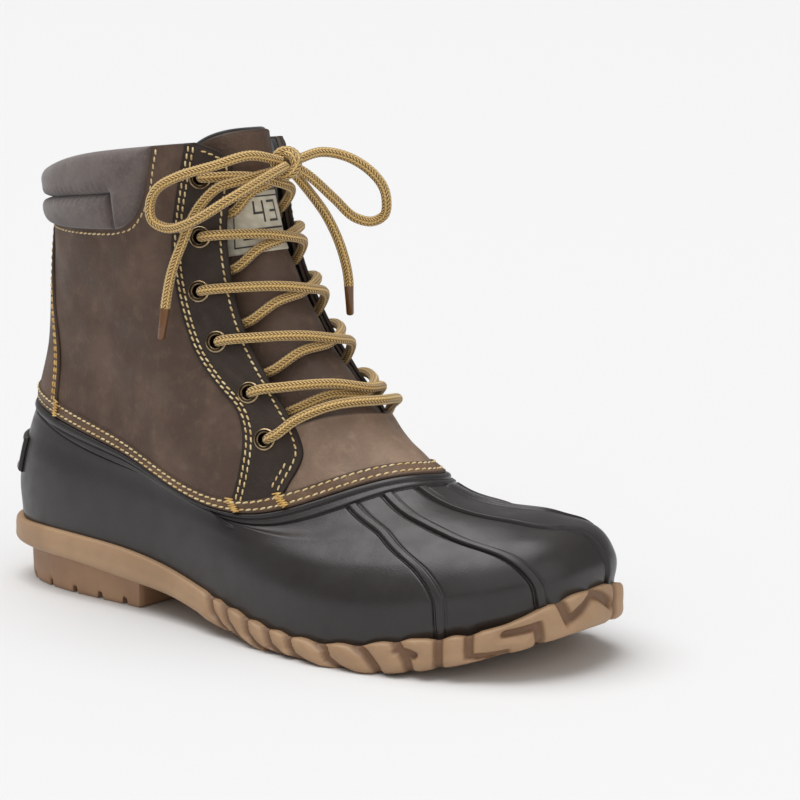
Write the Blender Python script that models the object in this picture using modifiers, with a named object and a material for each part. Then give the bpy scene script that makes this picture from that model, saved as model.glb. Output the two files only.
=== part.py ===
"""Duck boot, right foot: rubber bottom, leather upper, padded collar, tongue, laces and bow.

Run with: blender --background --python part.py

Every curved piece is read from one surface, the outside of the boot. A place on it has a turn,
0 at the back, 0.5 at the toe, with the lateral side first, and a level, 0 at the sole and 8 at
the collar. A depth is measured along the surface's normal, outward positive. Lengths in the
tables are millimetres; the objects are built in metres, +X to the toe, +Y medial, +Z up.
"""

import math
from collections import namedtuple

import bmesh
import bpy
import numpy as np
from mathutils import Matrix, Vector

# Driving dimensions, in millimetres
LENGTH = 300.0
BALL_WIDTH = 116.0
COLLAR_HEIGHT = 204.0

RUBBER_WALL = 2.5
LEATHER_WALL = 1.8
OVERLAY_WALL = 1.2
GAP = 0.3
OVERLAY_GAP = 0.72
LACE_DIAMETER = 4.2
EYELET_DIAMETER = 9.5
EYELET_HOLE = 5.4
SOLE_LIP = 2.6
HEEL_INSET = 4.0
HEEL_BREAST = 95.0
GROOVE_WIDTH = 2.6
GROOVE_DEPTH = 2.0
LUG_DEPTH = 3.0

# The sections below are drawn for this length, ball width and height, and follow the driving
# dimensions above.
DRAWN = Vector((300.0, 116.0, 204.0))
SCALE = np.array([LENGTH / DRAWN.x, BALL_WIDTH / DRAWN.y, COLLAR_HEIGHT / DRAWN.z])

# The middle of the boot's length and width, which the origin stands under
CENTRE = np.array([150.5, 2.3, 0.0])
METRE = 0.001

Section = namedtuple("Section", "back front heel waist ball toe swing "
                     "z_back z_waist z_ball z_front square_back square_front")

# One section a level. Widths are half widths at the heel, waist, ball and toe; swing is how far
# the toe leans to the medial side; the square columns tell how full the ends are.
SECTIONS = (
    # feather line, at the sole
    Section(0.0, 301.0, 52.0, 40.0, 58.0, 62.0, 10.0, 32.5, 24.5, 12.0, 31.5, 2.5, 2.6),
    # widest part of the rubber
    Section(-1.0, 301.5, 52.0, 41.0, 58.5, 62.0, 10.0, 46.0, 38.0, 27.0, 41.5, 2.5, 2.6),
    # shoulder of the toe
    Section(1.5, 291.0, 50.0, 41.0, 54.0, 58.0, 9.0, 59.0, 49.0, 39.0, 51.5, 2.5, 2.5),
    # top of the toe
    Section(5.0, 268.0, 47.0, 40.0, 49.0, 50.0, 7.0, 72.0, 59.0, 46.5, 61.5, 2.4, 2.2),
    # lower edge of the leather
    Section(9.0, 226.0, 44.0, 39.0, 47.0, 46.0, 4.0, 84.0, 70.0, 53.0, 75.0, 2.3, 2.0),
    # base of the throat
    Section(13.0, 198.0, 42.0, 37.0, 44.0, 42.0, 2.0, 107.0, 95.0, 85.0, 97.0, 2.2, 2.0),
    # ankle
    Section(15.0, 167.0, 41.0, 37.0, 40.0, 38.0, 0.0, 134.0, 126.0, 122.0, 127.0, 2.2, 2.0),
    # shaft
    Section(18.5, 145.0, 41.0, 38.0, 38.0, 36.0, 0.0, 160.0, 158.0, 160.0, 164.0, 2.2, 2.0),
    # collar
    Section(20.0, 137.0, 41.0, 39.0, 38.0, 35.0, 0.0, 188.0, 196.0, 201.0, 204.0, 2.2, 2.2),
)
# Where along the length each of the four widths and heights stands, 0 at the back
STATIONS = np.array([0.0, 0.35, 0.72, 1.0])
SWING_START = 0.45
EDGE_LEVEL = 4.0
TOP_LEVEL = 8.0

# Underside of the sole: distance from the back, and height
Underside = namedtuple("Underside", "x z")
SOLE_UNDERSIDE = (
    Underside(0.0, 17.5), Underside(60.0, 16.5), Underside(90.0, 12.5), Underside(120.0, 8.5),
    Underside(150.0, 3.5), Underside(175.0, 0.0), Underside(235.0, 0.0), Underside(265.0, 5.2),
    Underside(290.0, 13.0), Underside(303.0, 18.5),
)

# Side grooves of the sole, from the waist to the toe: turn at the top and at the bottom
Groove = namedtuple("Groove", "top bottom")
SIDE_GROOVES = (
    Groove(0.258, 0.266), Groove(0.271, 0.280), Groove(0.285, 0.297), Groove(0.301, 0.314),
    Groove(0.319, 0.332), Groove(0.340, 0.352), Groove(0.364, 0.370), Groove(0.387, 0.387),
    Groove(0.404, 0.404), Groove(0.447, 0.449), Groove(0.468, 0.482),
)
# Cross grooves of the tread: distance from the back, under the forefoot and under the heel
FOREFOOT_GROOVES = (178.0, 194.0, 210.0, 226.0, 242.0, 258.0)
HEEL_GROOVES = (17.0, 33.0, 51.0, 68.0)

# Ridges over the toe: turn at the sole and at the top band
Ridge = namedtuple("Ridge", "low middle high")
RIDGES = (Ridge(0.383, 0.390, 0.411), Ridge(0.461, 0.460, 0.459))
RIDGE_TOP = 3.72
RIDGE_RADIUS = 1.7

# Height of the rubber's top band below the leather, in millimetres, by turn
BAND_TURNS = (0.0, 0.10, 0.19, 0.29, 0.38, 0.50)
BAND_DROPS = (1.5, 2.0, 8.5, 7.0, 7.5, 4.5)
BAND_RISE = 0.8
TUCK = 1.2

# Eyestay: level, turn of its rear seam and turn of its front edge
Stay = namedtuple("Stay", "level rear front")
EYESTAY = (
    Stay(4.30, 0.320, 0.364), Stay(4.45, 0.326, 0.376), Stay(4.60, 0.332, 0.385),
    Stay(4.80, 0.340, 0.389), Stay(5.00, 0.345, 0.389), Stay(5.25, 0.347, 0.390),
    Stay(5.50, 0.339, 0.391), Stay(6.10, 0.329, 0.392), Stay(6.80, 0.334, 0.404),
    Stay(7.15, 0.342, 0.414), Stay(7.40, 0.350, 0.424), Stay(7.75, 0.362, 0.437),
    Stay(7.90, 0.368, 0.430), Stay(7.99, 0.372, 0.405),
)
# The leather's throat ends here in the middle and lower at its two sides
THROAT_LEVEL = 5.03
THROAT_SIDE_DROP = 0.12

# Eyelets from the lowest up: level, turn on the lateral side, and the level where the strand
# from this eyelet goes under the far eyestay
Eyelet = namedtuple("Eyelet", "level turn dive")
EYELETS = (
    Eyelet(4.86, 0.361, None), Eyelet(5.38, 0.366, 5.13), Eyelet(5.94, 0.357, 5.58),
    Eyelet(6.48, 0.357, 6.12), Eyelet(7.04, 0.375, 6.68), Eyelet(7.64, 0.387, 7.24),
)

# Collar pad: turn of its front edge by level, and its two rolls
Pad = namedtuple("Pad", "level front")
COLLAR = (
    Pad(7.20, 0.283), Pad(7.25, 0.296), Pad(7.38, 0.310), Pad(7.51, 0.319), Pad(7.56, 0.321),
    Pad(7.63, 0.324), Pad(7.80, 0.329), Pad(7.97, 0.332), Pad(8.04, 0.333),
)
ROLL_SEAM_LEVEL = 7.56
ROLL_RISE = 4.0
LOWER_ROLL_END = 0.266
UPPER_ROLL_END = 0.325
PAD_BASE = 2.4

# Back stay: half turn by level
Strip = namedtuple("Strip", "level half")
BACK_STAY = (
    Strip(4.32, 0.126), Strip(4.6, 0.125), Strip(5.0, 0.123), Strip(5.5, 0.118),
    Strip(6.1, 0.106), Strip(6.6, 0.090), Strip(7.1, 0.074),
)
TAB_HALF_TURN = 0.07
TAB_LEVELS = (1.5, 2.1, 2.75)

# Tongue
TONGUE_LEVELS = (4.55, 4.8, 5.1, 5.5, 6.1, 6.9, 7.15, 7.42, 7.8, 8.0, 8.16)
TONGUE_WALL = 3.4
TONGUE_RISE = -1.1
TONGUE_SINK = 5.65
TONGUE_SPREAD = 1.32
LABEL_LEVELS = (6.9, 7.15, 7.42)
LABEL_WALL = 0.7
LABEL_SPREAD = TONGUE_SPREAD * 0.56

# Lace. Depths of its centre line: over the eyestay, over and under at a crossing, and where it
# dives under the eyestay's edge.
OVER_STAY = 5.9
CROSS_OVER = 6.0
CROSS_UNDER = 2.5
DIVE = -3.6

# Bow: routes of the cord in the boot's own frame, x from the back, y medial, z up
KNOT_PLACE = (151.5, 0.0, 194.0)
KNOT_RADII = (4.7, 6.0, 5.5)
BOW_LATERAL = (
    (149.9, -6.7, 195.5), (147, -19, 198), (138, -31, 194), (124, -39, 189), (116, -42, 184),
    (113, -43, 178), (114, -43, 171), (120, -41, 168), (133, -40, 171), (146, -32, 180),
    (153.8, -5.8, 192),
)
BOW_MEDIAL = (
    (153.7, 6, 195.6), (157, 15, 198), (164, 23, 196), (171, 30, 190), (175, 34, 183),
    (176, 35, 177), (174, 36, 171), (169, 34, 168), (164, 28, 170), (160, 20, 178),
    (154.6, 4.7, 191.3),
)
END_LATERAL = (
    (149.3, -4.8, 190.4), (145, -20, 188), (138, -28, 185), (133, -31, 180), (129, -33, 174),
    (126, -37, 163), (122, -40, 150), (121, -43, 136), (121, -45, 122),
)
END_MEDIAL = (
    (149.9, 4.8, 190.1), (152, 13, 181), (156, 20, 171), (162, 26, 157), (165, 30, 143),
    (166, 32, 128),
)
TIP_LENGTH = 16.0

# Colours as seen under even light
Finish = namedtuple("Finish", "colour roughness metallic")
FINISHES = {
    "gum_rubber": Finish((0.42, 0.26, 0.15), 0.55, 0.0),
    "shell_rubber": Finish((0.045, 0.038, 0.036), 0.42, 0.0),
    "quarter_leather": Finish((0.115, 0.078, 0.058), 0.6, 0.0),
    "stay_leather": Finish((0.070, 0.048, 0.038), 0.65, 0.0),
    "collar_nubuck": Finish((0.13, 0.115, 0.11), 0.9, 0.0),
    "tongue_leather": Finish((0.125, 0.085, 0.062), 0.6, 0.0),
    "label_cloth": Finish((0.72, 0.70, 0.64), 0.8, 0.0),
    "insole_felt": Finish((0.05, 0.048, 0.046), 0.95, 0.0),
    "eyelet_metal": Finish((0.42, 0.36, 0.28), 0.3, 1.0),
    "lace_braid": Finish((0.55, 0.36, 0.12), 0.75, 0.0),
    "tip_plastic": Finish((0.30, 0.18, 0.07), 0.35, 0.0),
}

# How finely the curved pieces are divided
LEATHER_COLUMNS = 52
LEATHER_LEVELS = (4.6, 5.0, 5.5, 6.1, 6.6, 7.1, 7.5, 8.0)
RUBBER_COLUMNS = 60
SOLE_COLUMNS = 80
CORD_STEP = 2.8 * LACE_DIAMETER


# Curves and the boot's surface

def hermite(places, values, where):
    """Smooth curve through the points, each point's slope taken from its two neighbours."""
    slopes = np.diff(values, axis=-1) / np.diff(places)
    ends = (slopes[..., :1], (slopes[..., :-1] + slopes[..., 1:]) / 2, slopes[..., -1:])
    tangents = np.concatenate(ends, axis=-1)
    cell = np.clip(np.searchsorted(places, where, side="right") - 1, 0, len(places) - 2)
    width = places[cell + 1] - places[cell]
    s = (where - places[cell]) / width
    if values.ndim > 1:
        row = np.arange(len(where))
        start, stop = values[row, cell], values[row, cell + 1]
        leave, arrive = tangents[row, cell], tangents[row, cell + 1]
    else:
        start, stop = values[cell], values[cell + 1]
        leave, arrive = tangents[cell], tangents[cell + 1]
    cubic = (2 * s ** 3 - 3 * s ** 2 + 1) * start + (3 * s ** 2 - 2 * s ** 3) * stop
    return cubic + (s ** 3 - 2 * s ** 2 + s) * width * leave + (s ** 3 - s ** 2) * width * arrive


def section_at(level):
    """All columns of the section table at each level."""
    table = np.array(SECTIONS, float)
    levels = np.arange(len(table), dtype=float)
    return np.stack([hermite(levels, column, level) for column in table.T], axis=-1)


def surface(turn, level):
    """Points of the boot's outside; past the top level it goes on straight up."""
    turn, level = np.broadcast_arrays(np.asarray(turn, float), np.asarray(level, float))
    shape = turn.shape
    turn, level = turn.ravel(), level.ravel()
    within = np.minimum(level, TOP_LEVEL)
    point = section_point(turn, within)
    step = 0.01
    rise = (section_point(turn, within) - section_point(turn, within - step)) / step
    point = point + rise * (level - within)[:, None]
    return (point * SCALE).reshape(*shape, 3)


def section_point(turn, level):
    """A point of the section table's surface, before the driving dimensions scale it."""
    row = section_at(level)
    angle = 2 * np.pi * turn
    along = (1 - np.cos(angle)) / 2
    side = -np.sign(np.sin(angle))
    width = hermite(STATIONS, row[:, 2:6], along)
    height = hermite(STATIONS, row[:, 7:11], along)
    square = row[:, 11] + (row[:, 12] - row[:, 11]) * along
    full = np.clip(1 - np.abs(2 * along - 1) ** square, 0, 1) ** (1 / square)
    x = row[:, 0] + (row[:, 1] - row[:, 0]) * along
    swing = row[:, 6] * np.clip((along - SWING_START) / (1 - SWING_START), 0, 1) ** 2
    return np.stack([x, swing + side * width * full, height], axis=-1)


def normal(turn, level):
    """Outward normals of the boot's outside."""
    turn_step, level_step = 1e-3, 1e-2
    around = surface(turn + turn_step, level) - surface(turn - turn_step, level)
    up = surface(turn, level + level_step) - surface(turn, level - level_step)
    across = np.cross(around, up)
    return across / np.linalg.norm(across, axis=-1, keepdims=True)


def skin(turn, level, depth):
    """Points at a depth from the boot's outside."""
    turn, level, depth = np.broadcast_arrays(*(np.asarray(v, float) for v in (turn, level, depth)))
    return surface(turn, level) + normal(turn, level) * depth[..., None]


def below_edge(turn, drop):
    """Level that lies a drop in millimetres below the leather's lower edge."""
    spacing = np.linalg.norm(surface(turn, EDGE_LEVEL) - surface(turn, EDGE_LEVEL - 1), axis=-1)
    return EDGE_LEVEL - drop / spacing


def above_edge(turn, rise):
    """Level that lies a rise in millimetres above the leather's lower edge."""
    spacing = np.linalg.norm(surface(turn, EDGE_LEVEL + 1) - surface(turn, EDGE_LEVEL), axis=-1)
    return EDGE_LEVEL + rise / spacing


def column(table, name):
    """One named column of a table, as an array."""
    return np.array([getattr(row, name) for row in table], float)


def stay_front(level):
    """Turn of the eyestay's front edge, and so of the throat, at each level."""
    return np.interp(level, column(EYESTAY, "level"), column(EYESTAY, "front"))


def throat_side(level):
    """Turn of the throat's side, which goes straight on above the eyestay's rounded corner."""
    widest = max(EYESTAY, key=lambda row: row.front)
    return np.where(np.asarray(level) > widest.level, widest.front, stay_front(level))


def smooth_route(points, spacing):
    """Points about a spacing apart on a smooth curve through a route's own points."""
    points = np.array(points, float)
    reach = np.concatenate([[0], np.cumsum(np.linalg.norm(np.diff(points, axis=0), axis=1))])
    count = max(3, int(round(reach[-1] / spacing)) + 1)
    where = np.linspace(0, reach[-1], count)
    return np.stack([hermite(reach, axis, where) for axis in points.T], axis=-1)


# Objects

def start_scene():
    """Empty the scene and make one collection for the boot and one for its cutters."""
    for thing in list(bpy.data.objects):
        bpy.data.objects.remove(thing, do_unlink=True)
    boot = bpy.data.collections.new("duck_boot")
    cutters = bpy.data.collections.new("cutters")
    bpy.context.scene.collection.children.link(boot)
    bpy.context.scene.collection.children.link(cutters)
    return boot, cutters


BOOT, CUTTERS = start_scene()


def world(points):
    """From the boot's own millimetres to the scene's metres."""
    return (np.asarray(points, float) - CENTRE) * METRE


def material(name):
    """The material of that name, made once."""
    if name in bpy.data.materials:
        return bpy.data.materials[name]
    finish = FINISHES[name]
    made = bpy.data.materials.new(name)
    made.use_nodes = True
    shader = made.node_tree.nodes["Principled BSDF"]
    shader.inputs["Base Color"].default_value = (*finish.colour, 1.0)
    shader.inputs["Roughness"].default_value = finish.roughness
    shader.inputs["Metallic"].default_value = finish.metallic
    made.diffuse_color = (*finish.colour, 1.0)
    return made


def new_object(name, data, finish, collection=None):
    """Link a new object to the boot's collection, or to the one given."""
    thing = bpy.data.objects.new(name, data)
    (collection or BOOT).objects.link(thing)
    if finish:
        data.materials.append(material(finish))
    return thing


def mesh_object(name, points, faces, finish, collection=None):
    """An object from points in millimetres and faces, with its normals made to agree."""
    mesh = bpy.data.meshes.new(name)
    mesh.from_pydata([tuple(p) for p in world(points)], [], faces)
    shape = bmesh.new()
    shape.from_mesh(mesh)
    bmesh.ops.remove_doubles(shape, verts=shape.verts, dist=METRE * 0.001)
    bmesh.ops.recalc_face_normals(shape, faces=shape.faces)
    shape.to_mesh(mesh)
    shape.free()
    mesh.shade_smooth()
    mesh.set_sharp_from_angle(angle=math.radians(50))
    return new_object(name, mesh, finish, collection)


def as_cutter(thing):
    """Hide an object from renders and draw it as wire."""
    thing.hide_render = True
    thing.display_type = "WIRE"
    return thing


def grid_faces(rows, columns, first=0, closed=False, flip=False):
    """Quads of a grid whose points are listed row by row."""
    faces = []
    for row in range(rows - 1):
        for place in range(columns if closed else columns - 1):
            here = first + row * columns + place
            beside = first + row * columns + (place + 1) % columns
            face = (here, beside, beside + columns, here + columns)
            faces.append(face[::-1] if flip else face)
    return faces


def sheet(name, rows, finish, wall, closed=False):
    """An open surface from rows of points, thickened inward by a wall in millimetres."""
    rows = np.asarray(rows)
    faces = grid_faces(rows.shape[0], rows.shape[1], closed=closed)
    mesh = bpy.data.meshes.new(name)
    mesh.from_pydata([tuple(p) for p in world(rows.reshape(-1, 3))], [], faces)
    mesh.shade_smooth()
    thing = new_object(name, mesh, finish)
    shell = thing.modifiers.new("wall", "SOLIDIFY")
    shell.thickness = wall * METRE
    shell.offset = -1.0
    return thing


def block(name, outer, inner, finish, collection=None):
    """A closed solid between two sheets of points of the same size."""
    outer, inner = np.asarray(outer), np.asarray(inner)
    rows, columns = outer.shape[:2]
    half = rows * columns
    faces = grid_faces(rows, columns)
    faces += grid_faces(rows, columns, first=half, flip=True)
    rim = [(0, place) for place in range(columns)]
    rim += [(row, columns - 1) for row in range(1, rows)]
    rim += [(rows - 1, place) for place in range(columns - 2, -1, -1)]
    rim += [(row, 0) for row in range(rows - 2, 0, -1)]
    numbers = [row * columns + place for row, place in rim]
    for here, beside in zip(numbers, numbers[1:] + numbers[:1]):
        faces.append((beside, here, here + half, beside + half))
    points = np.concatenate([outer.reshape(-1, 3), inner.reshape(-1, 3)])
    return mesh_object(name, points, faces, finish, collection)


def boolean(thing, other, operation):
    """Cut, or join, with another object by an exact Boolean."""
    change = thing.modifiers.new(operation.lower(), "BOOLEAN")
    change.operation = operation
    change.solver = "EXACT"
    change.object = other


def tube(name, points, radius, finish, collection=None, roundness=2):
    """A round cord along points in millimetres, with closed ends."""
    curve = bpy.data.curves.new(name, "CURVE")
    curve.dimensions = "3D"
    curve.bevel_depth = radius * METRE
    curve.bevel_resolution = roundness
    curve.use_fill_caps = True
    spline = curve.splines.new("POLY")
    spline.points.add(len(points) - 1)
    for knot, place in zip(spline.points, world(points)):
        knot.co = (*place, 1.0)
    return new_object(name, curve, finish, collection)


def tube_mesh(name, points, radius, finish, collection=None, roundness=2):
    """A round cord as a closed mesh, for cutting and joining."""
    cord = tube(name + "_path", points, radius, None, collection, roundness)
    bpy.context.view_layer.update()
    mesh = bpy.data.meshes.new_from_object(cord.evaluated_get(bpy.context.evaluated_depsgraph_get()))
    place = cord.matrix_world.copy()
    bpy.data.objects.remove(cord, do_unlink=True)
    shape = bmesh.new()
    shape.from_mesh(mesh)
    bmesh.ops.remove_doubles(shape, verts=shape.verts, dist=METRE * 0.01)
    bmesh.ops.recalc_face_normals(shape, faces=shape.faces)
    shape.to_mesh(mesh)
    shape.free()
    mesh.shade_smooth()
    thing = new_object(name, mesh, finish, collection)
    thing.matrix_world = place
    return thing


# Sole

def rim_point(turn, out, height):
    """A point beside the feather line: out along the level normal, at a height."""
    turn = np.asarray(turn, float)
    level_normal = normal(turn, np.zeros_like(turn)) * np.array([1, 1, 0])
    level_normal /= np.linalg.norm(level_normal, axis=-1, keepdims=True)
    point = surface(turn, np.zeros_like(turn)) + level_normal * np.asarray(out, float)[..., None]
    point[..., 2] = height
    return point


def sole_top(turn):
    """Height of the sole's upper face."""
    return surface(turn, np.zeros_like(turn))[..., 2] - GAP


def underside(x):
    """Height of the underside at a distance from the back, nowhere below the floor."""
    x = np.atleast_1d(np.asarray(x, float))
    return np.maximum(hermite(column(SOLE_UNDERSIDE, "x"), column(SOLE_UNDERSIDE, "z"), x), 0.0)


def sole_bottom(turn):
    """Height of the sole's underside, heel block left aside."""
    return underside(surface(turn, np.zeros_like(turn))[..., 0])


def capped_rings(name, rings, finish, collection=None):
    """A closed solid from rings, lowest first, closed by strips across it from side to side."""
    rings = np.asarray(rings)
    rows, columns = rings.shape[:2]
    faces = grid_faces(rows, columns, closed=True)
    last = (rows - 1) * columns
    for place in range(columns // 2):
        across = (columns - place) % columns
        strip = [place, place + 1, columns - place - 1, across]
        strip = list(dict.fromkeys(strip))
        faces.append(tuple(strip[::-1]))
        faces.append(tuple(last + number for number in strip))
    return mesh_object(name, rings.reshape(-1, 3), faces, finish, collection)


def prism_faces(corners):
    """Faces of a solid whose points are its lower corners and then its upper corners."""
    faces = [tuple(range(corners))[::-1], tuple(range(corners, 2 * corners))]
    for here in range(corners):
        beside = (here + 1) % corners
        faces.append((here, beside, beside + corners, here + corners))
    return faces


def joined_cutter(name, prisms):
    """One cutter from several separate prisms, each a list of lower and upper corners."""
    points, faces = [], []
    for corners in prisms:
        for side in prism_faces(len(corners) // 2):
            faces.append(tuple(number + len(points) for number in side))
        points += list(corners)
    return as_cutter(mesh_object(name, points, faces, None, CUTTERS))


def side_grooves():
    """Slanted cuts down the sole's side, on both sides of the boot."""
    solids = []
    outside = 9.0
    for groove in SIDE_GROOVES:
        for mirrored in (False, True):
            corners = []
            for share, turn in ((-0.25, groove.bottom), (0.86, groove.top)):
                turn = 1 - turn if mirrored else turn
                length = np.linalg.norm(surface(turn + 0.001, 0.0) - surface(turn - 0.001, 0.0))
                half = GROOVE_WIDTH / 2 * 0.002 / length
                low, high = sole_bottom(turn), sole_top(turn)
                height = low + (high - low) * share
                for shift, out in ((-half, -0.1), (half, -0.1), (half, outside), (-half, outside)):
                    reach = SOLE_LIP + 0.6 - GROOVE_DEPTH if out < 0 else out
                    corners.append(rim_point(turn + shift, reach, height))
            solids.append(corners)
    return joined_cutter("side_groove_cutter", solids)


def tread_grooves():
    """Cuts across the tread, bent in a shallow V under the forefoot and straight at the heel."""
    solids = []
    width = 70.0
    bend = 6.0
    for x in FOREFOOT_GROOVES:
        base = float(underside(x)[0])
        outline = [(x, -width), (x + GROOVE_WIDTH, -width), (x + bend + GROOVE_WIDTH, 0)]
        outline += [(x + GROOVE_WIDTH, width), (x, width), (x + bend, 0)]
        solids.append([(a, b, z) for z in (-2.0, base + LUG_DEPTH) for a, b in outline])
    for x in HEEL_GROOVES:
        outline = [(x, -width), (x + GROOVE_WIDTH, -width), (x + GROOVE_WIDTH, width), (x, width)]
        solids.append([(a, b, z) for z in (-2.0, LUG_DEPTH) for a, b in outline])
    return solids


def make_heel_block():
    """The heel block, joined to the sole above it."""
    turns = np.linspace(0, 1, SOLE_COLUMNS // 2, endpoint=False)
    outline = rim_point(turns, -HEEL_INSET, 0.0)
    outline = outline[outline[:, 0] < HEEL_BREAST - 3]
    back_half = outline[outline[:, 1] <= 0]
    front = np.array([[HEEL_BREAST, back_half[-1][1], 0.0], [HEEL_BREAST, -back_half[-1][1], 0.0]])
    medial = outline[outline[:, 1] > 0]
    ring = np.concatenate([back_half, front, medial])
    low, high = ring.copy(), ring.copy()
    high[:, 2] = underside(ring[:, 0]) + 4.0
    faces = prism_faces(len(ring))
    return as_cutter(mesh_object("heel_block", np.concatenate([low, high]), faces, None, CUTTERS))


def make_outsole():
    """Gum rubber sole with its heel, side blocks and tread."""
    turns = np.arange(SOLE_COLUMNS) / SOLE_COLUMNS
    top, bottom = sole_top(turns), sole_bottom(turns)
    middle = (top + bottom) / 2
    profile = (
        (SOLE_LIP - 1.6, bottom), (SOLE_LIP + 0.1, bottom + 1.8), (SOLE_LIP + 0.7, middle),
        (SOLE_LIP + 0.2, top - 1.6), (SOLE_LIP - 1.0, top),
    )
    rings = [rim_point(turns, out, height) for out, height in profile]
    sole = capped_rings("outsole", rings, "gum_rubber")
    boolean(sole, make_heel_block(), "UNION")
    boolean(sole, side_grooves(), "DIFFERENCE")
    boolean(sole, joined_cutter("tread_groove_cutter", tread_grooves()), "DIFFERENCE")
    return sole


# Rubber shell

def ridge_turn(ridge, level, mirrored):
    """Turn of a ridge's middle line at a level."""
    places = np.array([0.0, 2.06, 3.92])
    turn = hermite(places, np.array([ridge.low, ridge.middle, ridge.high]), np.asarray(level, float))
    return 1 - turn if mirrored else turn


def make_rubber_shell():
    """Moulded rubber bottom: open at the top and underneath, with its band and toe ridges."""
    turns = np.arange(RUBBER_COLUMNS) / RUBBER_COLUMNS
    drop = np.interp(np.minimum(turns, 1 - turns), BAND_TURNS, BAND_DROPS)
    band = below_edge(turns, drop)
    lift = 0.012
    rows = [skin(turns, np.full_like(turns, level), 0.0) for level in (lift, 0.6, 1.3)]
    rows.append(skin(turns, 1.3 + (band - 1.3) / 2, 0.0))
    rows.append(skin(turns, below_edge(turns, drop + 0.9), 0.0))
    rows.append(skin(turns, band, BAND_RISE))
    rows.append(skin(turns, below_edge(turns, 0.9), BAND_RISE))
    rows.append(skin(turns, below_edge(turns, 0.4), -TUCK))
    rows.append(skin(turns, above_edge(turns, 6.0), -TUCK))
    shell = sheet("rubber_shell", rows, "shell_rubber", RUBBER_WALL, closed=True)
    for number, ridge in enumerate(RIDGES):
        for mirrored in (False, True):
            levels = np.linspace(0.12, RIDGE_TOP, 8)
            path = skin(ridge_turn(ridge, levels, mirrored), levels, -0.3)
            name = "ridge_%d_%s" % (number + 1, "medial" if mirrored else "lateral")
            rib = as_cutter(tube_mesh(name, path, RIDGE_RADIUS, None, CUTTERS, roundness=1))
            boolean(shell, rib, "UNION")
    return shell


def make_heel_tab():
    """Moulded rubber tab across the back of the shell."""
    turns = np.linspace(-TAB_HALF_TURN, TAB_HALF_TURN, 9)
    outer = [skin(turns, level, 2.0) for level in TAB_LEVELS]
    inner = [skin(turns, level, GAP) for level in TAB_LEVELS]
    return block("heel_tab", outer, inner, "shell_rubber")


# Leather

LEATHER_DEPTH = 1.0
STAY_INNER = LEATHER_DEPTH + OVERLAY_GAP
STAY_OUTER = STAY_INNER + OVERLAY_WALL


def make_throat_cutter():
    """Solid that opens the throat, from its arched base to above the collar."""
    levels = np.array([4.5, 5.0, 5.25, 5.65, 6.1, 6.65, 7.15, 7.5, 7.75, 8.0, 8.4])
    shares = np.linspace(-1, 1, 11)
    outer, inner = [], []
    for level in levels:
        half = 0.5 - throat_side(level) + 0.002
        base = THROAT_LEVEL - THROAT_SIDE_DROP * shares ** 2
        height = np.maximum(level, base)
        height = base if level == levels[0] else np.maximum(level, base + 0.01 * level)
        outer.append(skin(0.5 + half * shares, height, 9.0))
        inner.append(skin(0.5 + half * shares, height, -9.0))
    return as_cutter(block("throat_cutter", outer, inner, None, CUTTERS))


def eyelet_frame(eyelet, mirrored):
    """Place of an eyelet on the surface, and the turn that stands its axis on it."""
    turn = 1 - eyelet.turn if mirrored else eyelet.turn
    place = surface(turn, eyelet.level)
    axis = Vector(normal(turn, eyelet.level))
    return place, axis


def hole_cutter(name, eyelet, mirrored, diameter):
    """A pin through both leathers at an eyelet."""
    place, axis = eyelet_frame(eyelet, mirrored)
    bpy.ops.mesh.primitive_cylinder_add(vertices=8, radius=diameter / 2 * METRE, depth=0.012)
    pin = bpy.context.active_object
    pin.name = name
    pin.matrix_world = Matrix.Translation(world(place)) @ axis.to_track_quat("Z", "Y").to_matrix().to_4x4()
    for old in list(pin.users_collection):
        old.objects.unlink(pin)
    CUTTERS.objects.link(pin)
    return as_cutter(pin)


def joined_pins(side, mirrored):
    """All six pins of one side as one cutter."""
    pins = [hole_cutter("pin_%s_%d" % (side, k + 1), eyelet, mirrored, EYELET_HOLE + 1.9)
            for k, eyelet in enumerate(EYELETS)]
    bpy.context.view_layer.update()
    shape = bmesh.new()
    for pin in pins:
        part = pin.data.copy()
        part.transform(pin.matrix_world)
        shape.from_mesh(part)
        bpy.data.meshes.remove(part)
        bpy.data.objects.remove(pin, do_unlink=True)
    mesh = bpy.data.meshes.new("pins_" + side)
    shape.to_mesh(mesh)
    shape.free()
    return as_cutter(new_object("pins_" + side, mesh, None, CUTTERS))


def make_upper():
    """Quarters and vamp as one hollow leather, open at the collar, throat and underneath."""
    turns = np.arange(LEATHER_COLUMNS) / LEATHER_COLUMNS
    rows = [skin(turns, above_edge(turns, 0.0), LEATHER_DEPTH)]
    rows.append(skin(turns, above_edge(turns, 5.0), LEATHER_DEPTH))
    for level in LEATHER_LEVELS:
        rows.append(skin(turns, level, LEATHER_DEPTH))
    upper = sheet("leather_upper", rows, "quarter_leather", LEATHER_WALL, closed=True)
    boolean(upper, make_throat_cutter(), "DIFFERENCE")
    return upper


def make_eyestay(side, mirrored, upper):
    """Eyestay overlay of one side, with the holes that its eyelets pass through."""
    outer, inner = [], []
    for row in EYESTAY:
        turns = np.linspace(row.rear, row.front, 5)
        turns = (1 - turns)[::-1] if mirrored else turns
        outer.append(skin(turns, row.level, STAY_OUTER))
        inner.append(skin(turns, row.level, STAY_INNER))
    stay = block("eyestay_" + side, outer, inner, "stay_leather")
    pins = joined_pins(side, mirrored)
    boolean(stay, pins, "DIFFERENCE")
    boolean(upper, pins, "DIFFERENCE")


def roll(level, low, high):
    """Height of a padded roll between two levels, from 0 at its edges to 1 in its middle."""
    return np.sqrt(np.clip(1 - ((level - (low + high) / 2) / ((high - low) / 2)) ** 2, 0, 1))


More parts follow.
